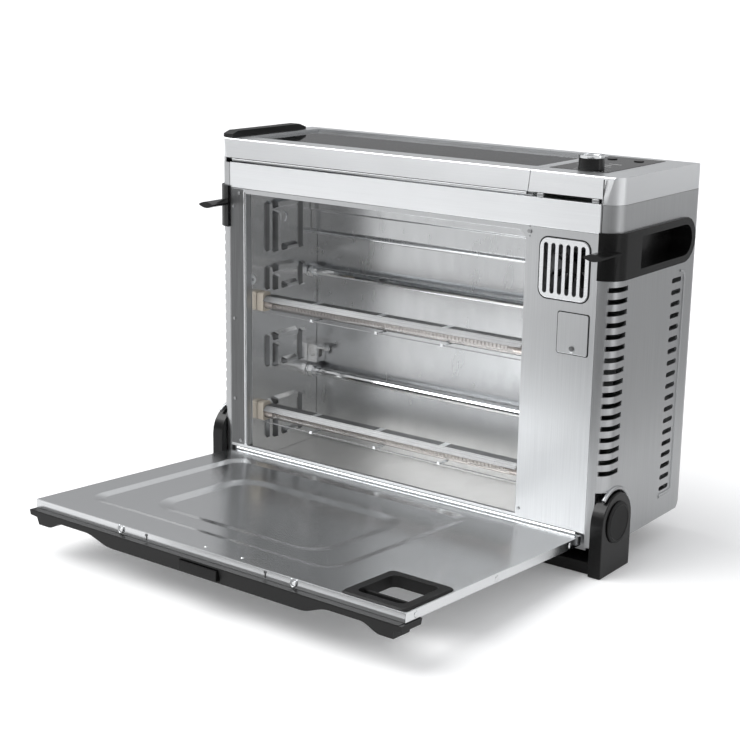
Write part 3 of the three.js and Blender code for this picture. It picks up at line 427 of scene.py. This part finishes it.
DARK_PANEL = moulded("dark_panel", grey(0.010), grey(0.006), 0.12, 0.06, 300.0, 0.02,
                     Specular_IOR_Level=0.35, Coat_Weight=0.25, Coat_Roughness=0.06)
BLOCK_CERAMIC = moulded("block_ceramic", (0.62, 0.56, 0.48, 1), (0.50, 0.45, 0.38, 1),
                        0.72, 0.12, 900.0, 0.45, ((0.55, 0.50, 0.44, 1), 0.6, 0.5))
BOARD_GREEN = moulded("board_green", (0.02, 0.10, 0.04, 1), (0.01, 0.06, 0.025, 1),
                      0.35, 0.15, 700.0, 0.15)
FLOOR_WHITE = darker_in_reflections(
    moulded("floor_white", grey(0.93), grey(0.92), 0.75, 0.04, 40.0, 0.02,
            Emission_Color=grey(1.0), Emission_Strength=0.12), 0.62)
FLAG_BLACK = moulded("flag_black", grey(0.05), grey(0.04), 0.9, 0.02, 40.0, 0.02)
FLAG_GREY = moulded("flag_grey", grey(0.30), grey(0.28), 0.9, 0.02, 40.0, 0.02)
DOOR_GLASS = glass("door_glass_tinted", (0.16, 0.17, 0.18, 1), 0.06)
QUARTZ_GLASS = glass("quartz_frosted", (0.96, 0.93, 0.91, 1), 0.12)
COIL_WIRE = brushed("coil_wire", 0.66, 0.52, 0.40, 0.10, (900, 900, 900), 0.10,
                    tint=(1.0, 0.95, 0.92))
GUARD_STEEL = brushed("guard_steel", 0.27, 0.20, 0.44, 0.08, (600, 600, 600), 0.08)
MARK_GREY = moulded("mark_grey", grey(0.55), grey(0.50), 0.5, 0.05, 900.0, 0.02)


# ---------------------------------------------------------------- making pieces

EDGE_ANGLE = 32  # degrees; a sharper fold gets a rounded edge
SMOOTH_ANGLE = 38  # degrees; a gentler fold is shaded smooth
FLAT_ANGLE = 0.6  # degrees; facets flatter than this are one face
MERGE_GAP = 0.00001  # metres


def clear_choice():
    if bpy.context.object and bpy.context.object.mode != "OBJECT":
        bpy.ops.object.mode_set(mode="OBJECT")
    bpy.ops.object.select_all(action="DESELECT")


def work_on(*pieces):
    clear_choice()
    for piece in pieces:
        piece.select_set(True)
    bpy.context.view_layer.objects.active = pieces[0]


def settle(piece):
    """Puts a piece's place, turn and scale into its mesh."""
    work_on(piece)
    bpy.ops.object.transform_apply(location=True, rotation=True, scale=True)


def round_edges(piece, width, segments=2, angle=EDGE_ANGLE):
    """Rounds a piece's sharp edges by a width in millimetres, and smooths it."""
    work_on(piece)
    if width:
        bpy.ops.object.modifier_add(type="BEVEL")
        bevel = piece.modifiers[-1]
        bevel.width, bevel.segments = width * MM, segments
        bevel.limit_method, bevel.angle_limit = "ANGLE", math.radians(angle)
        bpy.ops.object.modifier_apply(modifier=bevel.name)
    bpy.ops.object.shade_smooth_by_angle(angle=math.radians(SMOOTH_ANGLE))
    bpy.ops.object.modifier_add(type="WEIGHTED_NORMAL")
    piece.modifiers[-1].keep_sharp = True
    bpy.ops.object.modifier_apply(modifier=piece.modifiers[-1].name)


def dress(piece, name, body, finish, stands_for=()):
    piece.name = name
    piece.data.name = name
    piece.data.materials.clear()
    piece.data.materials.append(finish)
    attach(piece, body)
    if stands_for:
        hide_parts(*stands_for)
    return piece


def softened(part, finish, width, segments=2, angle=EDGE_ANGLE):
    """A copy of a solid part with its sharp edges rounded over, shown in its place."""
    work_on(NODES[part])
    bpy.ops.object.duplicate()
    piece = bpy.context.active_object
    bpy.ops.object.parent_clear(type="CLEAR_KEEP_TRANSFORM")
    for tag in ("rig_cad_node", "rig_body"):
        if tag in piece:
            del piece[tag]
    bpy.ops.object.mode_set(mode="EDIT")
    bpy.ops.mesh.select_all(action="SELECT")
    bpy.ops.mesh.remove_doubles(threshold=MERGE_GAP)
    bpy.ops.mesh.dissolve_limited(angle_limit=math.radians(FLAT_ANGLE))
    bpy.ops.object.mode_set(mode="OBJECT")
    if piece.data.has_custom_normals:
        bpy.ops.mesh.customdata_custom_splitnormals_clear()
    round_edges(piece, width, segments, angle)
    return dress(piece, part + "_body", BODY_OF[part], finish, [part])


def repaint(part, finish):
    """A solid part that keeps its own shape and gets this object's finish."""
    data = NODES[part]
    for slot in data.material_slots:
        slot.link = "OBJECT"
        slot.material = finish


# ---------------------------------------------------------------- the oven's solid parts

SOFT_PARTS = [
    ("side_panel_right", SIDE_STEEL, "satin_steel", 0.5),
    ("side_panel_left", SIDE_STEEL, "satin_steel", 0.5),
    ("top_cover", SIDE_STEEL, "satin_steel", 0.5),
    ("rear_panel", SIDE_STEEL, "satin_steel", 0.5),
    ("base_frame", PLATE_STEEL, "brushed_steel", 0.35),
    ("lower_rail", BAND_STEEL, "brushed_steel", 0.7),
    ("mouth_flange", SHADE_STEEL, "bright_sheet", 0.3),
    ("cavity_left", LINER_STEEL, "bright_sheet", 0.4),
    ("cavity_right", LINER_STEEL, "bright_sheet", 0.3),
    ("cavity_back", BACK_SHADE_STEEL, "bright_sheet", 0.35),
    ("cavity_floor", FLOOR_SHEET, "bright_sheet", 0.3),
    ("control_bezel", BAND_STEEL, "brushed_steel", 1.3),
    ("face_door_frame", BAND_STEEL, "brushed_steel", 0.7),
    ("door_grip", MATTE_BLACK, "black_plastic", 0.8),
    ("duct_ring", SOFT_BLACK, "black_plastic", 0.5),
    ("front_bar", MATTE_BLACK, "black_plastic", 1.0),
    ("latch_button", GLOSS_BLACK, "gloss_black", 0.6),
    ("foot_right", GLOSS_BLACK, "gloss_black", 1.4),
    ("foot_left", GLOSS_BLACK, "gloss_black", 1.4),
    ("foot_pivot_right", SOFT_BLACK, "black_plastic", 0.7),
    ("foot_pivot_left", SOFT_BLACK, "black_plastic", 0.7),
    ("rest_base", MATTE_BLACK, "black_plastic", 1.0),
    ("side_handle_right", GLOSS_BLACK, "black_plastic", 0.8),
    ("side_handle_left", GLOSS_BLACK, "black_plastic", 0.8),
    ("intake_grille", DOOR_STEEL, "brushed_steel", 0.3),
    ("access_cover", PLATE_STEEL, "brushed_steel", 0.3),
    ("power_button", GLOSS_BLACK, "gloss_black", 0.25),
    ("light_button", GLOSS_BLACK, "gloss_black", 0.25),
    ("tube_end_1_left", BLOCK_CERAMIC, "ceramic", 0.5),
    ("tube_end_1_right", BLOCK_CERAMIC, "ceramic", 0.5),
    ("tube_end_2_left", BLOCK_CERAMIC, "ceramic", 0.5),
    ("tube_end_2_right", BLOCK_CERAMIC, "ceramic", 0.5),
    ("sensor_bracket", LINER_STEEL, "bright_sheet", 0.2),
    ("cord_gland", SOFT_BLACK, "black_plastic", 0.8),
]
PLAIN_PARTS = {
    "control_glass": DARK_PANEL, "control_board": BOARD_GREEN, "face_door_glass": DOOR_GLASS,
    "face_hinge_rod": SHADE_STEEL, "under_hinge_rod": CHROME,
    "heater_rod_1": CHROME, "heater_rod_2": CHROME, "trim_rod": CHROME,
    "cooling_fan": SOFT_BLACK, "cooling_motor": SHADE_STEEL, "oven_fan": LINER_STEEL,
    "oven_fan_motor": SHADE_STEEL, "pivot_bracket_right": SHADE_STEEL,
    "pivot_bracket_left": SHADE_STEEL,
}

place_camera()
light_studio()
lay_floor(FLOOR_WHITE)
reflection_card("front_flag", (-0.2, -3.0), (2.6, -0.45), FLAG_BLACK)
reflection_card("side_flag", (0.45, 0.25), (3.0, 3.2), FLAG_GREY)
for part, finish, slot, width in SOFT_PARTS:
    softened(part, finish, width)
DOOR_STEP_ANGLE = 6  # degrees; the door's stamped steps slope only a little more than this
softened("underside_door", DOOR_STEEL, 0.9, 2, DOOR_STEP_ANGLE)
for part, finish in PLAIN_PARTS.items():
    repaint(part, finish)
# painted shade: faces of the left wall's bosses that look towards the front get the darker facet
# steel as a second finish
wall = bpy.data.objects["cavity_left_body"]
wall.data.materials.append(FACET_SHADE_STEEL)
for face in wall.data.polygons:
    if face.normal.y < -0.25 and face.center.y > 0.016:  # the fronts of the pressed bosses, painted darker as shade
        face.material_index = 1


# ---------------------------------------------------------------- modelling by hand

def block(low, high):
    """A block from one corner to the other, in millimetres."""
    clear_choice()
    low, high = Vector(low) * MM, Vector(high) * MM
    bpy.ops.mesh.primitive_cube_add(size=1, location=(low + high) / 2)
    piece = bpy.context.active_object
    piece.scale = high - low
    settle(piece)
    return piece


TURNS = {"X": (0, math.pi / 2, 0), "Y": (math.pi / 2, 0, 0), "Z": (0, 0, 0)}


def round_bar(centre, radius, length, axis, sides=32, ends="NGON"):
    clear_choice()
    bpy.ops.mesh.primitive_cylinder_add(
        vertices=sides, radius=radius * MM, depth=length * MM, end_fill_type=ends,
        location=Vector(centre) * MM, rotation=TURNS[axis])
    piece = bpy.context.active_object
    settle(piece)
    return piece


def ring_of_wire(centre, radius, thickness, axis, around=32):
    clear_choice()
    bpy.ops.mesh.primitive_torus_add(
        major_radius=radius * MM, minor_radius=thickness * MM, major_segments=around,
        minor_segments=8, location=Vector(centre) * MM, rotation=TURNS[axis])
    piece = bpy.context.active_object
    settle(piece)
    return piece


def wire(points, radius, rounds=3):
    """A bent round wire through points in millimetres."""
    clear_choice()
    bpy.ops.curve.primitive_nurbs_path_add()
    piece = bpy.context.active_object
    path = piece.data
    path.splines.clear()
    spline = path.splines.new("NURBS")
    spline.points.add(len(points) - 1)
    for spot, point in zip(spline.points, points):
        spot.co = (*(Vector(point) * MM), 1)
    spline.use_endpoint_u, spline.order_u, spline.resolution_u = True, 3, 3
    path.bevel_depth, path.bevel_resolution, path.use_fill_caps = radius * MM, rounds, True
    bpy.ops.object.convert(target="MESH")
    piece = bpy.context.active_object
    settle(piece)
    return piece


def pick(piece, test, kind="FACE"):
    """Opens a piece in edit mode with only the parts that pass the test chosen."""
    work_on(piece)
    bpy.ops.object.mode_set(mode="EDIT")
    bpy.ops.mesh.select_mode(type=kind)
    bpy.ops.mesh.select_all(action="DESELECT")
    bpy.ops.object.mode_set(mode="OBJECT")
    parts = {"FACE": piece.data.polygons, "EDGE": piece.data.edges,
             "VERT": piece.data.vertices}[kind]
    for part in parts:
        part.select = bool(test(part))
    bpy.ops.object.mode_set(mode="EDIT")


def push(amount):
    bpy.ops.mesh.extrude_region_move(
        TRANSFORM_OT_translate={"value": tuple(a * MM for a in amount)})


def done():
    bpy.ops.object.mode_set(mode="OBJECT")


def join(pieces):
    work_on(*pieces)
    if len(pieces) > 1:
        bpy.ops.object.join()
    return bpy.context.active_object


def copied(pattern, shift, turn=(0, 0, 0), size=1.0):
    work_on(pattern)
    bpy.ops.object.duplicate()
    piece = bpy.context.active_object
    piece.location = Vector(shift) * MM
    piece.rotation_euler = turn
    piece.scale = (size, size, size)
    settle(piece)
    return piece


def throw_away(piece):
    work_on(piece)
    bpy.ops.object.delete()


def thicken(piece, amount, offset=0.0):
    work_on(piece)
    bpy.ops.object.modifier_add(type="SOLIDIFY")
    wall = piece.modifiers[-1]
    wall.thickness, wall.offset = amount * MM, offset
    bpy.ops.object.modifier_apply(modifier=wall.name)


def repeat(piece, count, step):
    work_on(piece)
    bpy.ops.object.modifier_add(type="ARRAY")
    row = piece.modifiers[-1]
    row.count, row.use_relative_offset, row.use_constant_offset = count, False, True
    row.constant_offset_displace = Vector(step) * MM
    row.use_merge_vertices, row.merge_threshold = True, 0.00002
    bpy.ops.object.modifier_apply(modifier=row.name)


def outline_ring(x0, x1, z0, z1, y, corner, width, depth):
    """A flat ring with rounded corners on an upright face."""
    clear_choice()
    middle = Vector(((x0 + x1) / 2, y, (z0 + z1) / 2)) * MM
    bpy.ops.mesh.primitive_plane_add(size=1, location=middle, rotation=TURNS["Y"])
    piece = bpy.context.active_object
    piece.scale = ((x1 - x0) * MM, (z1 - z0) * MM, 1)
    settle(piece)
    pick(piece, lambda v: True, "VERT")
    bpy.ops.mesh.bevel(offset=corner * MM, segments=5, affect="VERTICES")
    bpy.ops.mesh.select_mode(type="FACE")
    bpy.ops.mesh.select_all(action="SELECT")
    bpy.ops.mesh.inset(thickness=width * MM)
    bpy.ops.mesh.delete(type="FACE")
    done()
    thicken(piece, depth, 1.0)
    return piece


# the pressed bead behind the rear vents, as (y, z)
VENT_BEAD = [(139, 287), (145, 287), (149, 284), (149, 278), (149, 220), (149, 170), (149, 110),
             (149, 60), (149, 54), (146, 50.6), (140, 50.6), (130, 50.6), (122, 50.6)]
FACING = {"-Y": (0, 0, 0), "+X": (0, 0, math.pi / 2), "+Y": (0, 0, math.pi),
          "-X": (0, 0, -math.pi / 2), "+Z": (-math.pi / 2, 0, 0), "-Z": (math.pi / 2, 0, 0)}


def screw_pattern():
    """A low round screw head, 2 mm in radius, that faces -Y and has a hexagonal socket."""
    head = round_bar((0, -0.35, 0), 2.0, 1.1, "Y", 24)
    pick(head, lambda f: f.normal.y < -0.9)
    bpy.ops.mesh.inset(thickness=0.5 * MM, depth=0.25 * MM)
    done()
    socket = round_bar((0, -1.13, 0), 0.85, 0.12, "Y", 6)
    pick(socket, lambda f: f.normal.y < -0.9)
    bpy.ops.mesh.inset(thickness=0.16 * MM)
    push((0, 0.1, 0))
    done()
    return join([head, socket])


def screws(name, body, finish, spots):
    pattern = screw_pattern()
    heads = [copied(pattern, spot[:3], FACING[spot[3]], spot[4]) for spot in spots]
    throw_away(pattern)
    piece = join(heads)
    round_edges(piece, 0)
    return dress(piece, name, body, finish)


def dome(centre, radius, stretch, facing):
    """A low pressed rivet head."""
    clear_choice()
    bpy.ops.mesh.primitive_uv_sphere_add(segments=20, ring_count=12, radius=radius * MM)
    piece = bpy.context.active_object
    piece.scale = (1, 0.45, stretch)
    settle(piece)
    pick(piece, lambda v: True, "VERT")
    bpy.ops.mesh.bisect(plane_co=(0, 0.0001, 0), plane_no=(0, 1, 0), clear_outer=True,
                        use_fill=True)
    done()
    piece.location = Vector(centre) * MM
    piece.rotation_euler = FACING[facing]
    settle(piece)
    return piece


# ---------------------------------------------------------------- heating

def mm_box(node_name):
    low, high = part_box(node_name)
    return Vector(low) / MM, Vector(high) / MM


HOLE_PITCH = 3.1  # guard's holes along the tube
GUARD_SHEET = 0.4  # thickness
GUARD_DROP = 5.2  # fall of the guard's sloping front
GUARD_FOLD = 5.6  # fold, behind the guard's front edge
RAIL_DROP = 18.3  # rails below the guard's top
RAIL_RADIUS = 0.6
CLIP_SHARES = (0.21, 0.47, 0.72)  # clips' places along a guard
TUBE_RADIUS, TUBE_WALL = 5.5, 0.9
COIL_RADIUS, COIL_PITCH, COIL_WIRE_RADIUS = 2.9, 4.6, 0.32


def perforated_strip(start, count, pitch, rows, row, tilt):
    """Sheet with rows of square holes, from its front left corner, rising towards the back."""
    clear_choice()
    bpy.ops.mesh.primitive_grid_add(x_subdivisions=3, y_subdivisions=3, size=1)
    strip = bpy.context.active_object
    middle = Vector((pitch / 2, row / 2, 0)) * MM
    strip.scale = (pitch * MM, row * MM, 1)
    strip.location = middle
    settle(strip)
    pick(strip, lambda f: (f.center - middle).length < 0.0003)
    bpy.ops.mesh.delete(type="FACE")
    done()
    repeat(strip, count, (pitch, 0, 0))
    repeat(strip, rows, (0, row, 0))
    strip.rotation_euler = (tilt, 0, 0)
    strip.location = Vector(start) * MM
    settle(strip)
    return strip


def perforated_guard(number):
    """A folded sheet with fine holes over a tube: a sloping front, a flat top and two rails."""
    low, high = mm_box(f"tube_guard_{number}")
    pitch = HOLE_PITCH
    count = int((high.x - low.x) / pitch)
    left = (low.x + high.x - count * pitch) / 2
    top, fold = high.z - GUARD_SHEET, low.y + GUARD_FOLD
    drop, reach = GUARD_DROP, fold - low.y - GUARD_SHEET
    slope = math.atan2(drop, reach)
    row = math.hypot(drop, reach) / 3
    sheets = [perforated_strip((left, low.y + 0.4, top - drop), count, pitch, 3, row, slope),
              perforated_strip((left, fold, top), count, pitch, 3, (high.y - 0.4 - fold) / 3, 0)]
    sheet = join(sheets)
    back = (high.y - 0.41) * MM
    pick(sheet, lambda e: all(sheet.data.vertices[v].co.y > back for v in e.vertices), "EDGE")
    push((0, 0, -6.4))
    done()
    pick(sheet, lambda v: True, "VERT")
    bpy.ops.mesh.remove_doubles(threshold=0.00003)
    done()
    thicken(sheet, GUARD_SHEET)
    rail_z = high.z - RAIL_DROP
    parts = [sheet]
    for y in (low.y + 1.0, high.y - 1.0):
        parts.append(round_bar(((low.x + high.x) / 2, y, rail_z), RAIL_RADIUS,
                               high.x - low.x, "X", 12))
    guard = join(parts)
    round_edges(guard, 0)
    dress(guard, f"element_guard_{number}", "housing", GUARD_STEEL,
          [f"tube_guard_{number}"])
    tabs = []
    for share in CLIP_SHARES:
        x = low.x + (high.x - low.x) * share
        tabs.append(block((x - 3.6, fold - 0.4, top + 0.1), (x + 3.6, high.y - 0.2, top + 0.4)))
        tabs.append(block((x - 2.2, low.y - 0.2, rail_z - 1.1),
                          (x + 2.2, high.y - 0.4, rail_z - 0.6)))
        tabs.append(block((x - 1.5, low.y - 0.2, rail_z - 1.0),
                          (x + 1.5, low.y + 0.3, rail_z + 2.0)))
    tabs = join(tabs)
    round_edges(tabs, 0.1)
    dress(tabs, f"element_clips_{number}", "housing", BAND_STEEL)


def quartz_element(number):
    low, high = mm_box(f"quartz_tube_{number}")
    middle = (low + high) / 2
    tube = round_bar(middle, TUBE_RADIUS, high.x - low.x, "X", 32, "NOTHING")
    thicken(tube, TUBE_WALL, -1.0)
    round_edges(tube, 0)
    dress(tube, f"element_tube_{number}", "housing", QUARTZ_GLASS,
          [f"quartz_tube_{number}"])
    length, pitch = high.x - low.x - 24, COIL_PITCH
    clear_choice()
    bpy.ops.mesh.primitive_circle_add(vertices=6, radius=COIL_WIRE_RADIUS * MM,
                                      location=(-length / 2 * MM, 0, COIL_RADIUS * MM),
                                      rotation=TURNS["Y"])
    coil = bpy.context.active_object
    settle(coil)
    bpy.ops.object.modifier_add(type="SCREW")
    twist = coil.modifiers[-1]
    twist.axis, twist.angle, twist.screw_offset = "X", math.tau, pitch * MM
    twist.iterations, twist.steps, twist.render_steps = int(length / pitch), 12, 12
    bpy.ops.object.modifier_apply(modifier=twist.name)
    coil.location = middle * MM
    settle(coil)
    parts = [coil]
    for x, way in ((low.x, 1), (high.x, -1)):
        parts.append(round_bar((x + way * 5.5, middle.y, middle.z), 4.3, 11, "X", 24))
        parts.append(round_bar((x + way * 14, middle.y, middle.z), 1.0, 8, "X", 12))
    coil = join(parts)
    pick(coil, lambda f: True)
    bpy.ops.mesh.normals_make_consistent(inside=False)
    done()
    round_edges(coil, 0)
    dress(coil, f"element_coil_{number}", "housing", COIL_WIRE)


def rod_fitting(number):
    """A hexagonal nut with a washer behind it and a collar that grips the rod."""
    low, high = mm_box(f"rod_fitting_{number}")
    rod_low, rod_high = mm_box(f"heater_rod_{number}")
    y, z = (low.y + high.y) / 2, (low.z + high.z) / 2
    radius = (rod_high.z - rod_low.z) / 2
    washer = round_bar((low.x + 0.6, y, z), radius + 4.4, 1.2, "X")
    nut = round_bar((low.x + 4.6, y, z), radius + 3.6, 6.4, "X", 6)
    collar = round_bar((low.x + 10.4, y, z), radius + 1.6, 5.2, "X")
    pick(collar, lambda f: f.normal.x > 0.9)
    bpy.ops.mesh.inset(thickness=0.8 * MM)
    push((1.2, 0, 0))
    done()
    lip = round_bar((low.x + 13.4, y, z), radius + 2.3, 1.2, "X")
    piece = join([washer, nut, collar, lip])
    round_edges(piece, 0.35)
    dress(piece, f"rod_nut_{number}", "housing", CHROME,
          [f"rod_fitting_{number}"])


for number in (1, 2):
    perforated_guard(number)
    quartz_element(number)
    rod_fitting(number)


# ---------------------------------------------------------------- front sheet fittings

screws("front_screws", "housing", SHADE_STEEL, [
    (-217.7, -0.2, 334.4, "-Y", 0.9), (-226.7, -0.2, 319.0, "-Y", 0.7),
    (-226.0, -0.2, 191.8, "-Y", 0.9), (-226.0, -0.2, 98.0, "-Y", 0.9),
    (-217.7, -0.2, 49.2, "-Y", 0.9), (155.4, 0.0, 50.8, "-Y", 0.8),
    (155.8, 0.0, 334.2, "-Y", 1.15), (155.8, 0.1, 339.0, "-Y", 0.45),
    (155.8, 0.1, 329.6, "-Y", 0.45),
])
screws("rear_screws", "housing", SHADE_STEEL, [
    (x, 181.0, z, "+Y", 1.3) for x in (-222, 0, 222) for z in (46, 196, 352)
] + [(x, y, 21.9, "-Z", 1.3) for x in (-212, -70, 70, 212) for y in (24, 140)])

# painted shade: a dark steel plate laid over the bright left stile stands in for the shade the
# stile falls in
stile = block((-231.2, -0.25, 44.5), (-212.6, 0.35, 338.9))
pick(stile, lambda f: f.normal.y < -0.9)
bpy.ops.mesh.inset(thickness=1.0 * MM, depth=0.1 * MM)
done()
round_edges(stile, 0.08)
dress(stile, "left_stile_painted_shade", "housing", DARK_STEEL)

bead = round_bar((-210.6, 0.3, 191.2), 1.5, 291, "Z", 20)
round_edges(bead, 0.3)
dress(bead, "left_stile_bead", "housing", CHROME)

tab = round_bar((-208.6, 8.7, 237.5), 6.4, 0.9, "Y", 28)
pick(tab, lambda v: True, "VERT")
bpy.ops.mesh.bisect(plane_co=(-208.4 * MM, 0, 0), plane_no=(-1, 0, 0), clear_outer=True,
                    use_fill=True)
done()
round_edges(tab, 0.2)
dress(tab, "wall_tab", "housing", BAND_STEEL)
screws("wall_tab_screw", "housing", SHADE_STEEL, [(-205.2, 8.2, 237.5, "-Y", 0.8)])

low, high = mm_box("intake_grille")
groove = outline_ring(low.x - 1.5, high.x + 1.5, low.z - 1.5, high.z + 1.5,
                      -0.02, 10.0, 1.3, 0.25)
dress(groove, "grille_groove", "housing", SOFT_BLACK)
low, high = mm_box("access_cover")
groove = outline_ring(low.x - 1.0, high.x + 1.0, low.z - 1.0, high.z + 1.0,
                      -0.02, 2.6, 1.3, 0.2)
dress(groove, "cover_groove", "housing", SOFT_BLACK)
screws("cover_screw", "housing", DARK_STEEL,
       [((low.x + high.x) / 2, -0.75, low.z + 5.4, "-Y", 1.35)])

SEAM_X = 233.2
seam = block((SEAM_X - 0.35, -0.12, 341.0), (SEAM_X + 0.35, 1.0, 391.0))
round_edges(seam, 0.05)
dress(seam, "band_seam_right", "housing", SOFT_BLACK)

clips = []
for x in (161.5, 221.5):
    clips.append(block((x, 0.3, 368.3), (x + 7.5, 4.0, 372.0)))
clips = join(clips)
pick(clips, lambda f: f.normal.y < -0.9)
bpy.ops.mesh.inset(thickness=0.8 * MM, depth=0.4 * MM)
done()
round_edges(clips, 0.25)
dress(clips, "gap_clips", "housing", SHADE_STEEL)

hook = wire([(-202.0, 57.5, 309.0), (-198.6, 57.0, 308.5), (-197.4, 56.6, 305.0),
             (-197.8, 56.2, 300.5), (-199.4, 55.9, 299.0)], 1.0)
round_edges(hook, 0)
dress(hook, "wall_hook", "housing", CHROME)


# ---------------------------------------------------------------- underside door fittings

DOOR_TILT, DOOR_EDGE = math.radians(-3.6), (0, 2.6, 37.5)


def on_door(piece):
    """From the door's own frame, free edge towards -Y, inner face at z = 0, to its open place."""
    piece.rotation_euler = (DOOR_TILT, 0, 0)
    piece.location = Vector(DOOR_EDGE) * MM
    settle(piece)
    return piece


DOOR_LENGTH, DOOR_SIDE = 300.65, 228.4
rivets = [dome((DOOR_SIDE, -u, -4.6), 2.3, 1.4, "+X") for u in (286, 158, 24)]
rivets += [dome((-DOOR_SIDE, -u, -4.6), 2.3, 1.4, "-X") for u in (286, 158, 24)]
rivets += [dome((x, -u, 0.0), 1.7, 1.0, "+Z") for x, u in ((-7, 291), (38, 291))]
rivets = on_door(join(rivets))
round_edges(rivets, 0)
dress(rivets, "door_rivets", "underside_door_body", CHROME)

loops = []
for x in (-108, 107):
    loops.append(wire([(x - 3, -DOOR_LENGTH - 0.2, -0.8), (x - 3, -DOOR_LENGTH - 1.2, -3.0),
                       (x - 3, -DOOR_LENGTH - 1.2, -6.0), (x, -DOOR_LENGTH - 1.2, -8.2),
                       (x + 3, -DOOR_LENGTH - 1.2, -6.0), (x + 3, -DOOR_LENGTH - 1.2, -3.0),
                       (x + 3, -DOOR_LENGTH - 0.2, -0.8)], 0.6))
    loops.append(round_bar((x + 0.6, -DOOR_LENGTH - 0.3, -4.6), 1.9, 1.2, "Y", 20))
loops = on_door(join(loops))
round_edges(loops, 0)
dress(loops, "door_loops", "underside_door_body", CHROME)

marks = []
for x in (-74, 74):
    marks.append(block((x - 0.9, -DOOR_LENGTH - 0.25, -7.6), (x + 0.9, -DOOR_LENGTH + 0.3, -2.0)))
    marks.append(round_bar((x - 0.4, -DOOR_LENGTH - 0.3, -2.4), 1.4, 0.8, "Y", 16))
marks = on_door(join(marks))
round_edges(marks, 0.12)
dress(marks, "door_hooks", "underside_door_body", DARK_STEEL)


# ---------------------------------------------------------------- feet, dial and panel

low, high = mm_box("foot_pivot_right")
pivot_y, pivot_z = (low.y + high.y) / 2, (low.z + high.z) / 2
for side, way in (("right", 1), ("left", -1)):
    line = ring_of_wire((way * 257.1, pivot_y, pivot_z), 18.2, 0.35, "X", 48)
    round_edges(line, 0)
    dress(line, f"foot_cap_line_{side}", "feet", GLOSS_BLACK)
    rim = [(way * 250.2, pivot_y + 33.6 * math.cos(math.radians(a)),
            pivot_z + 33.6 * math.sin(math.radians(a))) for a in range(-46, 131, 8)]
    rim = wire(rim, 2.2)
    round_edges(rim, 0)
    dress(rim, f"pocket_rim_{side}", "housing", SIDE_STEEL)

for side, way in (("right", 1), ("left", -1)):
    bead = wire([(way * 250.0, y, z) for y, z in VENT_BEAD], 1.3)
    round_edges(bead, 0)
    dress(bead, f"vent_bead_{side}", "housing", SIDE_STEEL)

PANEL_TOP, MARK_TOP = 393.4, 393.46  # the glossy panel's face, and its printed marks

low, high = mm_box("dial")
dial_x, dial_y = (low.x + high.x) / 2, (low.y + high.y) / 2
knob = round_bar((dial_x, dial_y, 399.8), 12.2, 12.0, "Z", 64)
pick(knob, lambda f: f.normal.z < -0.9)
bpy.ops.transform.resize(value=(1.05, 1.05, 1.0),
                         center_override=(dial_x * MM, dial_y * MM, 0.3938))
done()
round_edges(knob, 0.4)
dress(knob, "dial_knob", "dial_body", GLOSS_BLACK, ["dial"])
cap = round_bar((dial_x, dial_y, 406.7), 12.7, 2.8, "Z", 64)
pick(cap, lambda f: f.normal.z > 0.9)
bpy.ops.mesh.inset(thickness=1.3 * MM)
push((0, 0, -1.0))
bpy.ops.mesh.inset(thickness=2.0 * MM)
push((0, 0, -0.3))
done()
pointer = block((dial_x - 0.5, dial_y - 11.2, 405.3), (dial_x + 0.5, dial_y - 6.0, 407.4))
cap = join([cap, pointer])
round_edges(cap, 0.25)
dress(cap, "dial_cap", "dial_body", CHROME)

ticks = []
for i in range(20):
    turn = math.radians(i * 280 / 19 - 50)
    tick = block((15.4, -0.22, 0), (17.6 if i % 5 else 18.8, 0.22, 0.06))
    tick.rotation_euler = (0, 0, turn)
    tick.location = Vector((dial_x, dial_y, PANEL_TOP)) * MM
    settle(tick)
    ticks.append(tick)
for i in range(7):
    x = 164.0 + (i % 2) * 24
    y = 70 + (i // 2) * 11
    ticks.append(block((x, y, PANEL_TOP), (x + (14 if i % 3 else 9), y + 1.5, MARK_TOP)))
ticks = join(ticks)
round_edges(ticks, 0)
dress(ticks, "panel_marks", "housing", MARK_GREY)
